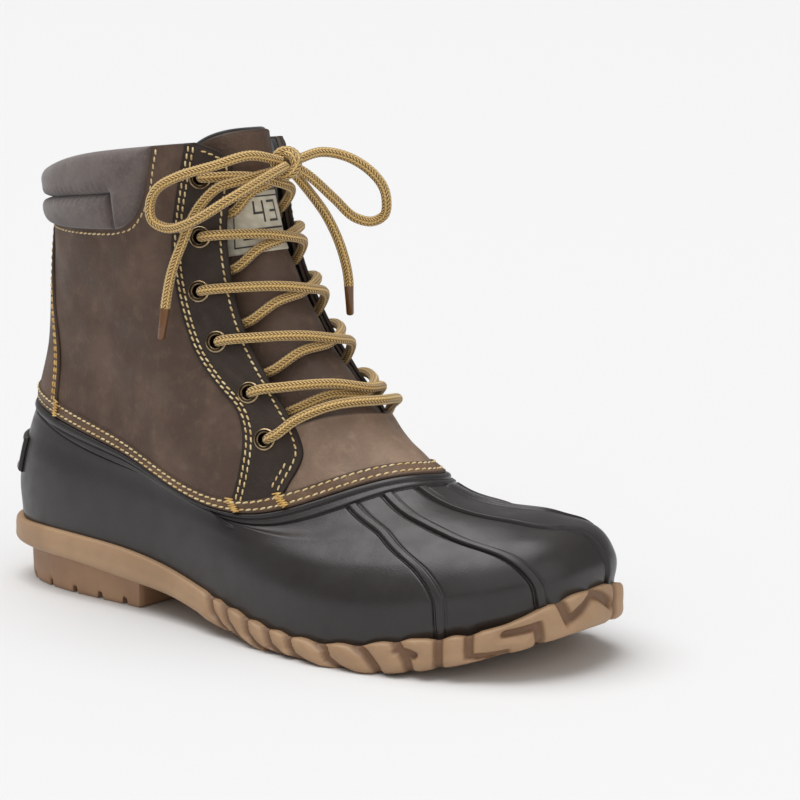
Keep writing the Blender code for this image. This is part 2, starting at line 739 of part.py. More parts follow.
def pad_depth(turn, level):
    """Outer face of the collar pad: a base sheet with two rolls round the back."""
    from_back = np.minimum(turn % 1.0, 1 - turn % 1.0)
    lower_end = np.clip((LOWER_ROLL_END - from_back) / 0.02, 0, 1)
    upper_end = np.clip((UPPER_ROLL_END - from_back) / 0.06, 0, 1)
    lower = roll(level, COLLAR[0].level, ROLL_SEAM_LEVEL) * lower_end
    upper = roll(level, ROLL_SEAM_LEVEL, COLLAR[-1].level) * upper_end
    return PAD_BASE + ROLL_RISE * np.maximum(lower, upper)


def make_collar():
    """Padded collar round the back of the shaft."""
    outer, inner = [], []
    for row in COLLAR:
        turns = np.linspace(-row.front, row.front, 21)
        outer.append(skin(turns, row.level, pad_depth(turns, np.full_like(turns, row.level))))
        inner.append(skin(turns, row.level, STAY_INNER))
    return block("collar_pad", outer, inner, "collar_nubuck")


def make_back_stay():
    """Leather strip up the back of the heel."""
    outer, inner = [], []
    for row in BACK_STAY:
        turns = np.linspace(-row.half, row.half, 9)
        outer.append(skin(turns, row.level, STAY_OUTER))
        inner.append(skin(turns, row.level, STAY_INNER))
    return block("back_stay", outer, inner, "stay_leather")


def tongue_depth(share):
    """Outer face of the tongue: high in the middle, sunk under the eyestays at its sides."""
    return TONGUE_RISE - TONGUE_SINK * np.clip(np.abs(share), 0, TONGUE_SPREAD) ** 2


def make_tongue():
    """Tongue behind the throat, standing a little above the collar."""
    shares = np.linspace(-TONGUE_SPREAD, TONGUE_SPREAD, 11)
    outer, inner = [], []
    for level in TONGUE_LEVELS:
        half = 0.5 - throat_side(max(level, EYESTAY[3].level))
        flat = np.clip((level - 4.8) / 0.3, 0.25, 1)
        depth = TONGUE_RISE - 0.4 * (1 - flat) + (tongue_depth(shares) - TONGUE_RISE) * flat
        outer.append(skin(0.5 + half * shares, level, depth))
        inner.append(skin(0.5 + half * shares, level, depth - TONGUE_WALL))
    return block("tongue", outer, inner, "tongue_leather")


def make_label():
    """Plain cloth label on the upper part of the tongue."""
    shares = np.linspace(-LABEL_SPREAD, LABEL_SPREAD, 7)
    outer, inner = [], []
    for level in LABEL_LEVELS:
        half = 0.5 - throat_side(level)
        depth = tongue_depth(shares)
        outer.append(skin(0.5 + half * shares, level, depth + GAP + LABEL_WALL))
        inner.append(skin(0.5 + half * shares, level, depth + GAP))
    return block("tongue_label", outer, inner, "label_cloth")


def make_insole():
    """Felt insole laid on the sole inside the rubber shell."""
    turns = np.arange(48) / 48
    inset = -(RUBBER_WALL + 1.2)
    low = rim_point(turns, inset, sole_top(turns) + GAP)
    high = rim_point(turns, inset, sole_top(turns) + GAP + 4.0)
    return capped_rings("insole", [low, high], "insole_felt")


# Eyelets and lace

def make_eyelet(side, number, eyelet, mirrored):
    """A turned ring with its barrel through both leathers."""
    bore, barrel, rim = EYELET_HOLE / 2, EYELET_HOLE / 2 + 0.5, EYELET_DIAMETER / 2
    seat = STAY_OUTER + 1.5 * GAP
    profile = ((rim, seat), (barrel, seat), (barrel, -0.4), (rim - 1.6, seat + 1.1))
    mesh = bpy.data.meshes.new("eyelet")
    count = len(profile)
    mesh.from_pydata([(r * METRE, 0, z * METRE) for r, z in profile],
                     [(k, (k + 1) % count) for k in range(count)], [])
    ring = new_object("eyelet_%s_%d" % (side, number), mesh, "eyelet_metal")
    turned = ring.modifiers.new("turned", "SCREW")
    turned.steps = 9
    turned.render_steps = 9
    turned.use_merge_vertices = True
    turned.merge_threshold = 0.00005
    place, axis = eyelet_frame(eyelet, mirrored)
    ring.matrix_world = Matrix.Translation(world(place)) @ axis.to_track_quat("Z", "Y").to_matrix().to_4x4()


def strand(eyelet, mirrored, over):
    """Centre line of one strand: from an eyelet across the throat and under the far edge."""
    dive = eyelet.dive
    middle = CROSS_OVER if over else CROSS_UNDER
    near_edge, far_edge = throat_side(eyelet.level), 1 - throat_side(dive)
    stops = (
        (eyelet.turn + 0.0145, eyelet.level, OVER_STAY),
        (near_edge, eyelet.level - 0.01, OVER_STAY),
        (0.5 - (0.5 - near_edge) * 0.45, eyelet.level - 0.05, (OVER_STAY + middle) / 2),
        (0.5, eyelet.level - 0.11, middle),
        (0.5 + (far_edge - 0.5) * 0.5, (eyelet.level + dive) / 2, middle - 0.6),
        (far_edge - 0.012, dive + 0.03, -1.8),
        (far_edge + 0.003, dive, DIVE),
    )
    turns = [1 - turn if mirrored else turn for turn, _, _ in stops]
    route = [skin(turn, level, depth) for turn, (_, level, depth) in zip(turns, stops)]
    return smooth_route(route, CORD_STEP)


def make_lace():
    """The bar at the lowest eyelets and the five crossings above it."""
    lowest = EYELETS[0]
    stops = ((lowest.turn + 0.0145, lowest.level + 0.03, OVER_STAY), (0.392, 4.96, OVER_STAY),
             (0.43, 5.02, 4.6), (0.5, 5.04, 4.2))
    half = [(turn, level, depth) for turn, level, depth in stops]
    route = half + [(1 - turn, level, depth) for turn, level, depth in half[-2::-1]]
    points = [skin(*stop) for stop in route]
    tube("lace_bar", smooth_route(points, CORD_STEP), LACE_DIAMETER / 2, "lace_braid")
    for number, eyelet in enumerate(EYELETS[1:], 2):
        name = "lace_cross_%d" % number
        over = strand(eyelet, False, True)
        under = strand(eyelet, True, False)
        cross = tube_mesh(name, over, LACE_DIAMETER / 2, "lace_braid")
        other = as_cutter(tube_mesh(name + "_under", under, LACE_DIAMETER / 2, None, CUTTERS))
        boolean(cross, other, "UNION")


def make_bow():
    """Knot, two loops and two ends with their tips."""
    bpy.ops.mesh.primitive_uv_sphere_add(segments=12, ring_count=7, radius=METRE)
    knot = bpy.context.active_object
    knot.name = "lace_knot"
    knot.data.name = "lace_knot"
    for old in list(knot.users_collection):
        old.objects.unlink(knot)
    BOOT.objects.link(knot)
    knot.data.transform(Matrix.Diagonal((*KNOT_RADII, 1.0)))
    knot.data.materials.append(material("lace_braid"))
    knot.data.shade_smooth()
    knot.location = world(KNOT_PLACE)
    radius = LACE_DIAMETER / 2
    for name, route in (("bow_loop_lateral", BOW_LATERAL), ("bow_loop_medial", BOW_MEDIAL)):
        tube(name, smooth_route(route, CORD_STEP), radius, "lace_braid")
    for side, route in (("lateral", END_LATERAL), ("medial", END_MEDIAL)):
        line = smooth_route(route, CORD_STEP)
        tube("lace_end_" + side, line, radius, "lace_braid")
        way = line[-1] - line[-2]
        way = way / np.linalg.norm(way)
        start = line[-1] + way * GAP
        tube("lace_tip_" + side, [start, start + way * TIP_LENGTH / 2, start + way * TIP_LENGTH],
             radius * 0.9, "tip_plastic")


def make_boot():
    """All pieces, the sole and upper first."""
    make_outsole()
    make_rubber_shell()
    make_heel_tab()
    upper = make_upper()
    for side, mirrored in (("lateral", False), ("medial", True)):
        make_eyestay(side, mirrored, upper)
        for number, eyelet in enumerate(EYELETS, 1):
            make_eyelet(side, number, eyelet, mirrored)
    make_collar()
    make_back_stay()
    make_tongue()
    make_label()
    make_insole()
    make_lace()
    make_bow()


make_boot()
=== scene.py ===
"""Duck boot, right foot: the looks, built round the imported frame.

A place on the boot has a turn, 0 at the back and 0.5 at the toe with the lateral side first, and a
level, 0 at the sole and 8 at the collar, as in the solids. A depth is measured along the surface's
normal, outward positive. Lengths in the tables are millimetres.
"""

import math
from collections import namedtuple

import bmesh
import bpy
import numpy as np
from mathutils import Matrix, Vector


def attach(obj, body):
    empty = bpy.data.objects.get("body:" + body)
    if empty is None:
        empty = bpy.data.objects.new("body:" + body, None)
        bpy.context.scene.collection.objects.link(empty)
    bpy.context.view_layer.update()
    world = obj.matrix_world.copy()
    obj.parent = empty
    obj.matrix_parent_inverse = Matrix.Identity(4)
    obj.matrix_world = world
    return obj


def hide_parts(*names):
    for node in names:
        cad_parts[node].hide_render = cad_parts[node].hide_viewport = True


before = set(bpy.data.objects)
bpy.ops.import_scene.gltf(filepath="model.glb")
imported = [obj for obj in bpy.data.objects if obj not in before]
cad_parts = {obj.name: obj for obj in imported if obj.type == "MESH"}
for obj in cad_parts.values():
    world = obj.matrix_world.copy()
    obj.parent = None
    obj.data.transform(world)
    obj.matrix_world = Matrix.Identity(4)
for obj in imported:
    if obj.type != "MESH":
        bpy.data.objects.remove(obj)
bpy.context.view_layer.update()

CENTRE = np.array([150.5, 2.3, 0.0])
METRE = 0.001


# The boot's own surface, as in the solids

Section = namedtuple("Section", "back front heel waist ball toe swing "
                     "z_back z_waist z_ball z_front square_back square_front")
SECTIONS = (
    Section(0.0, 301.0, 52.0, 40.0, 58.0, 62.0, 10.0, 32.5, 24.5, 12.0, 31.5, 2.5, 2.6),
    Section(-1.0, 301.5, 52.0, 41.0, 58.5, 62.0, 10.0, 46.0, 38.0, 27.0, 41.5, 2.5, 2.6),
    Section(1.5, 291.0, 50.0, 41.0, 54.0, 58.0, 9.0, 59.0, 49.0, 39.0, 51.5, 2.5, 2.5),
    Section(5.0, 268.0, 47.0, 40.0, 49.0, 50.0, 7.0, 72.0, 59.0, 46.5, 61.5, 2.4, 2.2),
    Section(9.0, 226.0, 44.0, 39.0, 47.0, 46.0, 4.0, 84.0, 70.0, 53.0, 75.0, 2.3, 2.0),
    Section(13.0, 198.0, 42.0, 37.0, 44.0, 42.0, 2.0, 107.0, 95.0, 85.0, 97.0, 2.2, 2.0),
    Section(15.0, 167.0, 41.0, 37.0, 40.0, 38.0, 0.0, 134.0, 126.0, 122.0, 127.0, 2.2, 2.0),
    Section(18.5, 145.0, 41.0, 38.0, 38.0, 36.0, 0.0, 160.0, 158.0, 160.0, 164.0, 2.2, 2.0),
    Section(20.0, 137.0, 41.0, 39.0, 38.0, 35.0, 0.0, 188.0, 196.0, 201.0, 204.0, 2.2, 2.2),
)
STATIONS = np.array([0.0, 0.35, 0.72, 1.0])
SWING_START = 0.45
EDGE_LEVEL = 4.0
TOP_LEVEL = 8.0
# How far the crest of the toe and vamp stands above the solids' sections, by level, in the photo
CREST = (
    (0.5, 0.0), (1.0, 1.8), (1.6, 4.0), (2.0, 3.5), (2.4, 1.2), (2.8, -0.8), (3.2, -4.8),
    (3.4, -6.6), (3.6, -7.4), (3.8, -6.8), (4.0, -6.0), (4.3, -6.0), (4.6, -6.5), (5.0, -6.4),
    (5.5, -4.2), (6.1, -1.4), (6.6, 0.0),
)
CREST_TURN = 0.525
CREST_HALF = 0.085
# How far the back of the shaft stands ahead of the solids' sections, how much narrower it is, and
# how much lower its top, by level, in the photo
BACK_SHIFT = ((3.6, 0.0), (4.0, 1.8), (4.6, 3.6), (5.2, 5.8), (6.0, 7.2), (7.2, 7.4), (8.0, 6.4))
BACK_NARROW = ((3.8, 0.0), (5.0, 0.06), (6.0, 0.10), (8.0, 0.10))
BACK_DROP = ((7.0, 0.0), (7.5, -1.2), (8.0, -3.4))
BACK_HALF = 0.18


def hermite(places, values, where):
    """Smooth curve through the points, each point's slope taken from its two neighbours."""
    slopes = np.diff(values, axis=-1) / np.diff(places)
    ends = (slopes[..., :1], (slopes[..., :-1] + slopes[..., 1:]) / 2, slopes[..., -1:])
    tangents = np.concatenate(ends, axis=-1)
    cell = np.clip(np.searchsorted(places, where, side="right") - 1, 0, len(places) - 2)
    width = places[cell + 1] - places[cell]
    s = (where - places[cell]) / width
    if values.ndim > 1:
        row = np.arange(len(where))
        start, stop = values[row, cell], values[row, cell + 1]
        leave, arrive = tangents[row, cell], tangents[row, cell + 1]
    else:
        start, stop = values[cell], values[cell + 1]
        leave, arrive = tangents[cell], tangents[cell + 1]
    cubic = (2 * s ** 3 - 3 * s ** 2 + 1) * start + (3 * s ** 2 - 2 * s ** 3) * stop
    return cubic + (s ** 3 - 2 * s ** 2 + s) * width * leave + (s ** 3 - s ** 2) * width * arrive


def curve(table, where):
    """Smooth curve through a short table of (place, value) pairs, held at its two ends."""
    places, values = np.array(table, float).T
    where = np.clip(np.asarray(where, float), places[0], places[-1])
    return hermite(places, values, where.ravel()).reshape(where.shape)


def section_point(turn, level):
    """A superellipse-like ring at each level: x by cosine, y by the widths along the length."""
    table = np.array(SECTIONS, float)
    levels = np.arange(len(table), dtype=float)
    row = np.stack([hermite(levels, column, level) for column in table.T], axis=-1)
    angle = 2 * np.pi * turn
    along = (1 - np.cos(angle)) / 2
    side = -np.sign(np.sin(angle))
    width = hermite(STATIONS, row[:, 2:6], along)
    height = hermite(STATIONS, row[:, 7:11], along)
    square = row[:, 11] + (row[:, 12] - row[:, 11]) * along
    full = np.clip(1 - np.abs(2 * along - 1) ** square, 0, 1) ** (1 / square)
    x = row[:, 0] + (row[:, 1] - row[:, 0]) * along
    swing = row[:, 6] * np.clip((along - SWING_START) / (1 - SWING_START), 0, 1) ** 2
    return np.stack([x, swing + side * width * full, height], axis=-1)


def surface(turn, level):
    """Points of the boot's outside; past the top level it goes on straight up."""
    turn, level = np.broadcast_arrays(np.asarray(turn, float), np.asarray(level, float))
    shape = turn.shape
    turn, level = turn.ravel(), level.ravel()
    within = np.minimum(level, TOP_LEVEL)
    point = section_point(turn, within)
    point[:, 2] += curve(CREST, level) * np.exp(-((turn % 1.0 - CREST_TURN) / CREST_HALF) ** 2)
    from_back = np.abs((turn + 0.5) % 1.0 - 0.5)
    backness = np.exp(-(from_back / BACK_HALF) ** 2)
    point[:, 0] += curve(BACK_SHIFT, level) * backness
    point[:, 1] *= 1 - curve(BACK_NARROW, level) * backness
    point[:, 2] += curve(BACK_DROP, level) * backness
    past = level > TOP_LEVEL
    if past.any():
        step = 0.01
        top = section_point(turn[past], within[past])
        lower = section_point(turn[past], within[past] - step)
        rise = (top - lower) / step
        point[past] += rise * (level - within)[past, None]
    return point.reshape(*shape, 3)


def normal(turn, level):
    """Outward normals of the boot's outside."""
    turn_step, level_step = 1e-3, 1e-2
    around = surface(turn + turn_step, level) - surface(turn - turn_step, level)
    up = surface(turn, level + level_step) - surface(turn, level - level_step)
    across = np.cross(around, up)
    return across / np.linalg.norm(across, axis=-1, keepdims=True)


def skin(turn, level, depth):
    """Points at a depth from the boot's outside."""
    turn, level, depth = np.broadcast_arrays(*(np.asarray(v, float) for v in (turn, level, depth)))
    return surface(turn, level) + normal(turn, level) * depth[..., None]


def off_edge(turn, rise):
    """Level at a rise in millimetres above the leather's lower edge, below it if negative."""
    turn, rise = np.broadcast_arrays(np.asarray(turn, float), np.asarray(rise, float))
    edge = surface(turn, EDGE_LEVEL)
    above = np.linalg.norm(surface(turn, EDGE_LEVEL + 1) - edge, axis=-1)
    below = np.linalg.norm(edge - surface(turn, EDGE_LEVEL - 1), axis=-1)
    return EDGE_LEVEL + rise / np.where(rise > 0, above, below)


def per_turn(turn, level):
    """Millimetres that one whole turn would be at a place's own rate."""
    step = 1e-3
    ahead, behind = surface(turn + step, level), surface(turn - step, level)
    return np.linalg.norm(ahead - behind, axis=-1) / (2 * step)


def smooth(low, high, value):
    """0 below low, 1 above high, and a smooth S between."""
    share = np.clip((value - low) / (high - low), 0, 1)
    return share * share * (3 - 2 * share)


def mirrored_turn(turn, mirrored):
    """The same place on the other side of the boot."""
    return 1 - np.asarray(turn, float) if mirrored else np.asarray(turn, float)


def from_line(px, py, ex, ey):
    """Distance of the place (px, py) from the line between the origin and (ex, ey)."""
    along = np.clip((px * ex + py * ey) / (ex * ex + ey * ey), 0, 1)
    return np.hypot(px - ex * along, py - ey * along)


SIDES = (("lateral", False), ("medial", True))


# Meshes

def grid(rows, columns, closed=False, looped=False):
    """Quads of a grid row by row; closed joins its last column to its first, looped its rows."""
    row = np.arange(rows if looped else rows - 1)[:, None]
    place = np.arange(columns if closed else columns - 1)[None, :]
    beside, above = (place + 1) % columns, (row + 1) % rows
    corners = (row * columns + place, row * columns + beside, above * columns + beside,
               above * columns + place)
    return np.stack(np.broadcast_arrays(*corners), axis=-1).reshape(-1, 4)


def tube_faces(rows, around):
    """Faces of a tube with a flat face at each end."""
    faces = grid(rows, around, closed=True).tolist()
    faces.append(list(range(around))[::-1])
    faces.append(list(range((rows - 1) * around, rows * around)))
    return faces


def ring_shut(count, middle=0):
    """Quads across a ring: each place is joined to the one as far on its middle's other side."""
    faces = []
    for step in range(count // 2):
        ahead, behind = middle + step, middle - step
        quad = [place % count for place in (ahead, ahead + 1, behind - 1, behind)]
        faces.append(list(dict.fromkeys(quad)))
    return faces


def unit_ring(axis, around):
    """Unit circle about an axis: cos(a) side + sin(a) up, with side level and up across both."""
    side = np.cross(axis, [0.0, 0.0, 1.0])
    side /= np.linalg.norm(side)
    angle = 2 * np.pi * np.arange(around) / around
    return np.cos(angle)[:, None] * side + np.sin(angle)[:, None] * np.cross(axis, side)


def piece(name, points, faces, finish, merge=0.0, values=None):
    """An object from points in millimetres; values are point attributes for its material."""
    mesh = bpy.data.meshes.new(name)
    mesh.from_pydata(((np.asarray(points) - CENTRE) * METRE).tolist(), [],
                     [list(map(int, face)) for face in faces])
    for key, numbers in (values or {}).items():
        layer = mesh.attributes.new(key, "FLOAT", "POINT")
        layer.data.foreach_set("value", np.asarray(numbers, np.float32).ravel())
    if merge:
        shape = bmesh.new()
        shape.from_mesh(mesh)
        bmesh.ops.remove_doubles(shape, verts=shape.verts, dist=merge * METRE)
        bmesh.ops.dissolve_degenerate(shape, edges=shape.edges, dist=1e-7)
        shape.to_mesh(mesh)
        shape.free()
    mesh.materials.append(finish)
    mesh.shade_smooth()
    made = bpy.data.objects.new(name, mesh)
    bpy.context.scene.collection.objects.link(made)
    return made


def slab_faces(rows, columns, closed=False):
    """Quads of a closed solid between two sheets of points of the same size."""
    outer = grid(rows, columns, closed)
    size = rows * columns
    faces = [outer, outer[:, ::-1] + size]
    place = np.arange(columns if closed else columns - 1)
    beside = (place + 1) % columns
    top = (rows - 1) * columns
    faces.append(np.stack([beside, place, place + size, beside + size], axis=-1))
    faces.append(np.stack([top + place, top + beside, top + beside + size, top + place + size], -1))
    if not closed:
        low = np.arange(rows - 1) * columns
        high = low + columns
        faces.append(np.stack([low, high, high + size, low + size], axis=-1))
        low, high = low + columns - 1, high + columns - 1
        faces.append(np.stack([high, low, low + size, high + size], axis=-1))
    return np.concatenate(faces)


def edge_distances(points, closed):
    """Distance of each grid point from the first and last column and the first and last row."""
    across = np.linalg.norm(np.diff(points, axis=1), axis=-1)
    across = np.concatenate([np.zeros((len(points), 1)), np.cumsum(across, axis=1)], axis=1)
    up = np.linalg.norm(np.diff(points, axis=0), axis=-1)
    up = np.concatenate([np.zeros((1, points.shape[1])), np.cumsum(up, axis=0)], axis=0)
    far = np.full(across.shape, 1e3)
    left, right = (far, far) if closed else (across, across[:, -1:] - across)
    return left, right, up, up[-1:] - up


def edge_shares(count, span, round_mm=0.8):
    """Shares from 0 to 1 with extra lines close to both ends, for an edge that curves down."""
    near = np.array([0.0, 0.1, 0.3, 0.6, 1.0]) * round_mm / span
    middle = np.linspace(near[-1], 1 - near[-1], count)[1:-1]
    return np.concatenate([near, middle, 1 - near[::-1]])


def overlay(name, turn, level, low, high, finish, closed=False, round_mm=0.8, relief=None):
    """A leather from depth low to high: its face curves down to low along a quarter circle at its
    borders. relief gets the four border distances and gives a depth to add inside them."""
    base = surface(turn, level)
    borders = edge_distances(base, closed)
    nearest = np.minimum.reduce(borders)
    share = np.clip(nearest / round_mm, 0, 1)
    crown = np.sqrt(1 - (1 - share) ** 2)
    low, high = np.broadcast_to(low, turn.shape), np.broadcast_to(high, turn.shape)
    depth = low + (high - low) * crown
    if relief is not None:
        depth = depth + relief(*borders) * crown
    out = normal(turn, level)
    outer = base + out * depth[..., None]
    inner = base + out * low[..., None]
    points = np.concatenate([outer.reshape(-1, 3), inner.reshape(-1, 3)])
    edge = 1 - smooth(0.3, 3.0, nearest)
    return piece(name, points, slab_faces(*turn.shape, closed), finish, merge=0.002,
                 values={"edge": np.concatenate([edge.ravel(), edge.ravel()])})


def channel(distance, at, deep=0.22, half=0.9):
    """The shallow groove that a row of stitches pulls into leather, at a distance from an edge."""
    return -deep * np.exp(-((distance - at) / half) ** 2)


def apply_boolean(thing, cutter):
    """Cut a piece by another and keep the result as its mesh."""
    change = thing.modifiers.new("cut", "BOOLEAN")
    change.operation = "DIFFERENCE"
    change.solver = "EXACT"
    change.object = cutter
    graph = bpy.context.evaluated_depsgraph_get()
    mesh = bpy.data.meshes.new_from_object(thing.evaluated_get(graph))
    thing.modifiers.clear()
    thing.data = mesh
    mesh.shade_smooth()
    mesh.set_sharp_from_angle(angle=math.radians(48))


def done(thing, slot, *nodes):
    """The piece rides on the boot and stands for these solids; slot is not used."""
    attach(thing, "root")
    if nodes:
        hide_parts(*nodes)
    return thing


# Materials

def linear(code):
    """An sRGB hex colour as linear light with full alpha."""
    parts = [int(code[k:k + 2], 16) / 255 for k in (1, 3, 5)]
    return tuple(c / 12.92 if c <= 0.04045 else ((c + 0.055) / 1.055) ** 2.4 for c in parts) + (1,)


def add(tree, kind, sockets=None, **settings):
    """Add a node with its settings; a socket takes a value or another node's output."""
    made = tree.nodes.new("ShaderNode" + kind)
    for key, value in settings.items():
        setattr(made, key, value)
    for key, value in (sockets or {}).items():
        if isinstance(value, bpy.types.NodeSocket):
            tree.links.new(value, made.inputs[key])
        else:
            made.inputs[key].default_value = value
    return made


def principled(name, roughness, metallic=0.0, **sockets):
    """A new material, its tree, its shader and the Object coordinates."""
    made = bpy.data.materials.new(name)
    made.use_nodes = True
    tree = made.node_tree
    shader = tree.nodes["Principled BSDF"]
    shader.inputs["Roughness"].default_value = roughness
    shader.inputs["Metallic"].default_value = metallic
    for key, value in sockets.items():
        shader.inputs[key.replace("_", " ")].default_value = value
    place = add(tree, "TexCoord").outputs["Object"]
    return made, tree, shader, place


def mixed(tree, factor, first, second):
    """The output of a colour mix."""
    return add(tree, "Mix", {0: factor, 6: first, 7: second}, data_type="RGBA").outputs[2]


def between(tree, value, low, high, start=0.0, stop=1.0):
    """A value mapped smoothly from low..high to start..stop."""
    sockets = {"Value": value, "From Min": low, "From Max": high, "To Min": start, "To Max": stop}
    return add(tree, "MapRange", sockets, interpolation_type="SMOOTHSTEP").outputs["Result"]


def noise(tree, place, size_mm, detail=3.0, rough=0.55):
    """Noise whose lumps are about a size in millimetres across."""
    sockets = {"Vector": place, "Scale": 1000 / size_mm, "Detail": detail, "Roughness": rough}
    return add(tree, "TexNoise", sockets).outputs["Fac"]


def cells(tree, place, size_mm, feature="F1"):
    """Distances within cells of about a size in millimetres."""
    sockets = {"Vector": place, "Scale": 1000 / size_mm}
    return add(tree, "TexVoronoi", sockets, feature=feature).outputs["Distance"]


def bumps(tree, shader, heights):
    """Bump nodes one after the other from (height socket, millimetres) pairs."""
    last = None
    for height, deep in heights:
        sockets = {"Height": height, "Strength": 1.0, "Distance": deep * METRE}
        if last is not None:
            sockets["Normal"] = last
        last = add(tree, "Bump", sockets).outputs["Normal"]
    tree.links.new(last, shader.inputs["Normal"])


def value_of(tree, name):
    """A point attribute of the piece."""
    return add(tree, "Attribute", attribute_name=name).outputs["Fac"]


def waxed_leather(name, colour, deep, light, roughness, grain_mm=1.3, mottle_mm=26.0):
    """Waxed nubuck-grain cowhide: soft patches where the wax has moved, a fine pebble that is drawn
    coarser than the real 0.3 mm so that it shows, and a darker burnished cut edge."""
    made, tree, shader, place = principled(name, roughness, Specular_IOR_Level=0.3)
    patches = between(tree, noise(tree, place, mottle_mm, 4.0, 0.6), 0.38, 0.66)
    tone = mixed(tree, patches, linear(deep), linear(colour))
    haze = between(tree, noise(tree, place, 7.0, 5.0, 0.65), 0.48, 0.78, 0.0, 0.55)
    tone = mixed(tree, haze, tone, linear(light))
    edge = between(tree, value_of(tree, "edge"), 0.55, 1.0, 0.0, 0.6)
    tone = mixed(tree, edge, tone, linear("#2a201b"))
    tree.links.new(tone, shader.inputs["Base Color"])
    gloss = between(tree, noise(tree, place, 11.0), 0.3, 0.7, roughness - 0.07, roughness + 0.08)
    tree.links.new(gloss, shader.inputs["Roughness"])
    pebble = cells(tree, place, grain_mm)
    nap = noise(tree, place, 0.9, 4.0, 0.7)
    bumps(tree, shader, ((pebble, 0.10), (nap, 0.16)))
    return made


def nubuck(name, colour, deep, light):
    """Buffed nubuck: no gloss, a pale nap that shows at grazing angles and brushed patches."""
    made, tree, shader, place = principled(name, 0.92, Sheen_Weight=0.35, Sheen_Roughness=0.45)
    patches = between(tree, noise(tree, place, 15.0, 4.0, 0.6), 0.35, 0.68)
    tone = mixed(tree, patches, linear(deep), linear(colour))
    flecks = between(tree, noise(tree, place, 1.4, 3.0, 0.7), 0.45, 0.75, 0.0, 0.5)
    tone = mixed(tree, flecks, tone, linear(light))
    tree.links.new(tone, shader.inputs["Base Color"])
    nap = noise(tree, place, 0.8, 4.0, 0.75)
    unevenness = noise(tree, place, 5.0)
    bumps(tree, shader, ((nap, 0.22), (unevenness, 0.3)))
    return made


def moulded_rubber(name, colour, deep, roughness, grain_mm, groove=None):
    """Moulded rubber: even colour, satin from the mould's fine blast, faint cloudiness; a groove
    attribute, where the piece has one, darkens the rubber in its grooves with painted shade."""
    made, tree, shader, place = principled(name, roughness)
    cloud = between(tree, noise(tree, place, 30.0, 4.0, 0.6), 0.3, 0.7)
    tone = mixed(tree, cloud, linear(colour), linear(deep))
    if groove:
        # painted shade: the groove colour darkens the rubber where the groove attribute marks a
        # groove
        tone = mixed(tree, value_of(tree, "groove"), tone, linear(groove))
    tree.links.new(tone, shader.inputs["Base Color"])
    gloss = between(tree, noise(tree, place, 9.0), 0.3, 0.7, roughness - 0.04, roughness + 0.06)
    tree.links.new(gloss, shader.inputs["Roughness"])
    bumps(tree, shader, ((noise(tree, place, grain_mm, 2.0, 0.6), 0.05),))
    return made


def sewing_thread(name, colour, deep):
    """Bonded polyester thread, 0.8 mm, twisted: slightly glossy, its tone changing softly."""
    made, tree, shader, place = principled(name, 0.5, Sheen_Weight=0.2)
    change = between(tree, noise(tree, place, 2.5), 0.35, 0.65)
    tone = mixed(tree, change, linear(colour), linear(deep))
    tree.links.new(tone, shader.inputs["Base Color"])
    bumps(tree, shader, ((noise(tree, place, 0.5), 0.12),))
    return made


def antique_brass(name):
    """Brass with a dark chemical finish, painted bright along the flange's rims: a painted
    highlight that rubbed wear makes patchy.
    """
    made, tree, shader, place = principled(name, 0.27, metallic=1.0)
    # painted highlight: the attribute lightens the flange's rims, and the wear noise makes it
    # patchy
    highlight_and_wear = between(tree, value_of(tree, "highlight_and_wear"), 0.2, 0.9)
    wear = between(tree, noise(tree, place, 1.6, 4.0, 0.7), 0.35, 0.7, 0.55, 1.0)
    highlight_and_wear = add(tree, "Math", {0: highlight_and_wear, 1: wear}, operation="MULTIPLY").outputs[0]
    tone = mixed(tree, highlight_and_wear, linear("#2a211b"), linear("#c2ab88"))
    tree.links.new(tone, shader.inputs["Base Color"])
    bumps(tree, shader, ((noise(tree, place, 1.2, 3.0, 0.7), 0.04),))
    return made


def braided_cord(name):
    """Round braid of polyester yarn: columns of slanted stitches that lean by turns left and right;
    every other column is flecked with dark yarn. Each stitch is darker in its hollows and lighter
    on
    its crest: painted shade and painted highlight. The map holds stitches along and columns round."""
    made, tree, shader, _ = principled(name, 0.72, Sheen_Weight=0.35, Sheen_Roughness=0.4)
    lay = add(tree, "UVMap", uv_map="lay").outputs[0]
    split = add(tree, "SeparateXYZ", {0: lay})
    along, around = split.outputs[0], split.outputs[1]
    whole = add(tree, "Math", {0: around}, operation="FLOOR").outputs[0]
    inside = add(tree, "Math", {0: around}, operation="FRACT").outputs[0]
    odd = add(tree, "Math", {0: whole, 1: 2.0}, operation="MODULO").outputs[0]
    lean = add(tree, "Math", {0: odd, 1: -2.0, 2: 1.0}, operation="MULTIPLY_ADD").outputs[0]
    shift = add(tree, "Math", {0: inside, 1: lean}, operation="MULTIPLY").outputs[0]
    phase = add(tree, "Math", {0: along, 1: shift}, operation="ADD").outputs[0]
    cycle = add(tree, "Math", {0: phase}, operation="FRACT").outputs[0]
    fleck = between(tree, cycle, 0.5, 0.72)
    dark = add(tree, "Math", {0: fleck, 1: odd}, operation="MULTIPLY").outputs[0]
    swell = add(tree, "Math", {0: cycle, 1: math.pi}, operation="MULTIPLY").outputs[0]
    swell = add(tree, "Math", {0: swell}, operation="SINE").outputs[0]
    side = add(tree, "Math", {0: inside, 1: math.pi}, operation="MULTIPLY").outputs[0]
    side = add(tree, "Math", {0: side}, operation="SINE").outputs[0]
    height = add(tree, "Math", {0: swell, 1: side}, operation="MULTIPLY").outputs[0]
    # painted shade and painted highlight: the gold runs from a dark tone in each stitch's hollows
    # to a light one on its crest
    gold = mixed(tree, between(tree, height, 0.0, 0.8), linear("#a57c38"), linear("#ecca86"))
    flecked = mixed(tree, dark, gold, linear("#4a2e14"))
    tree.links.new(flecked, shader.inputs["Base Color"])
    bumps(tree, shader, ((height, 0.35),))
    return made


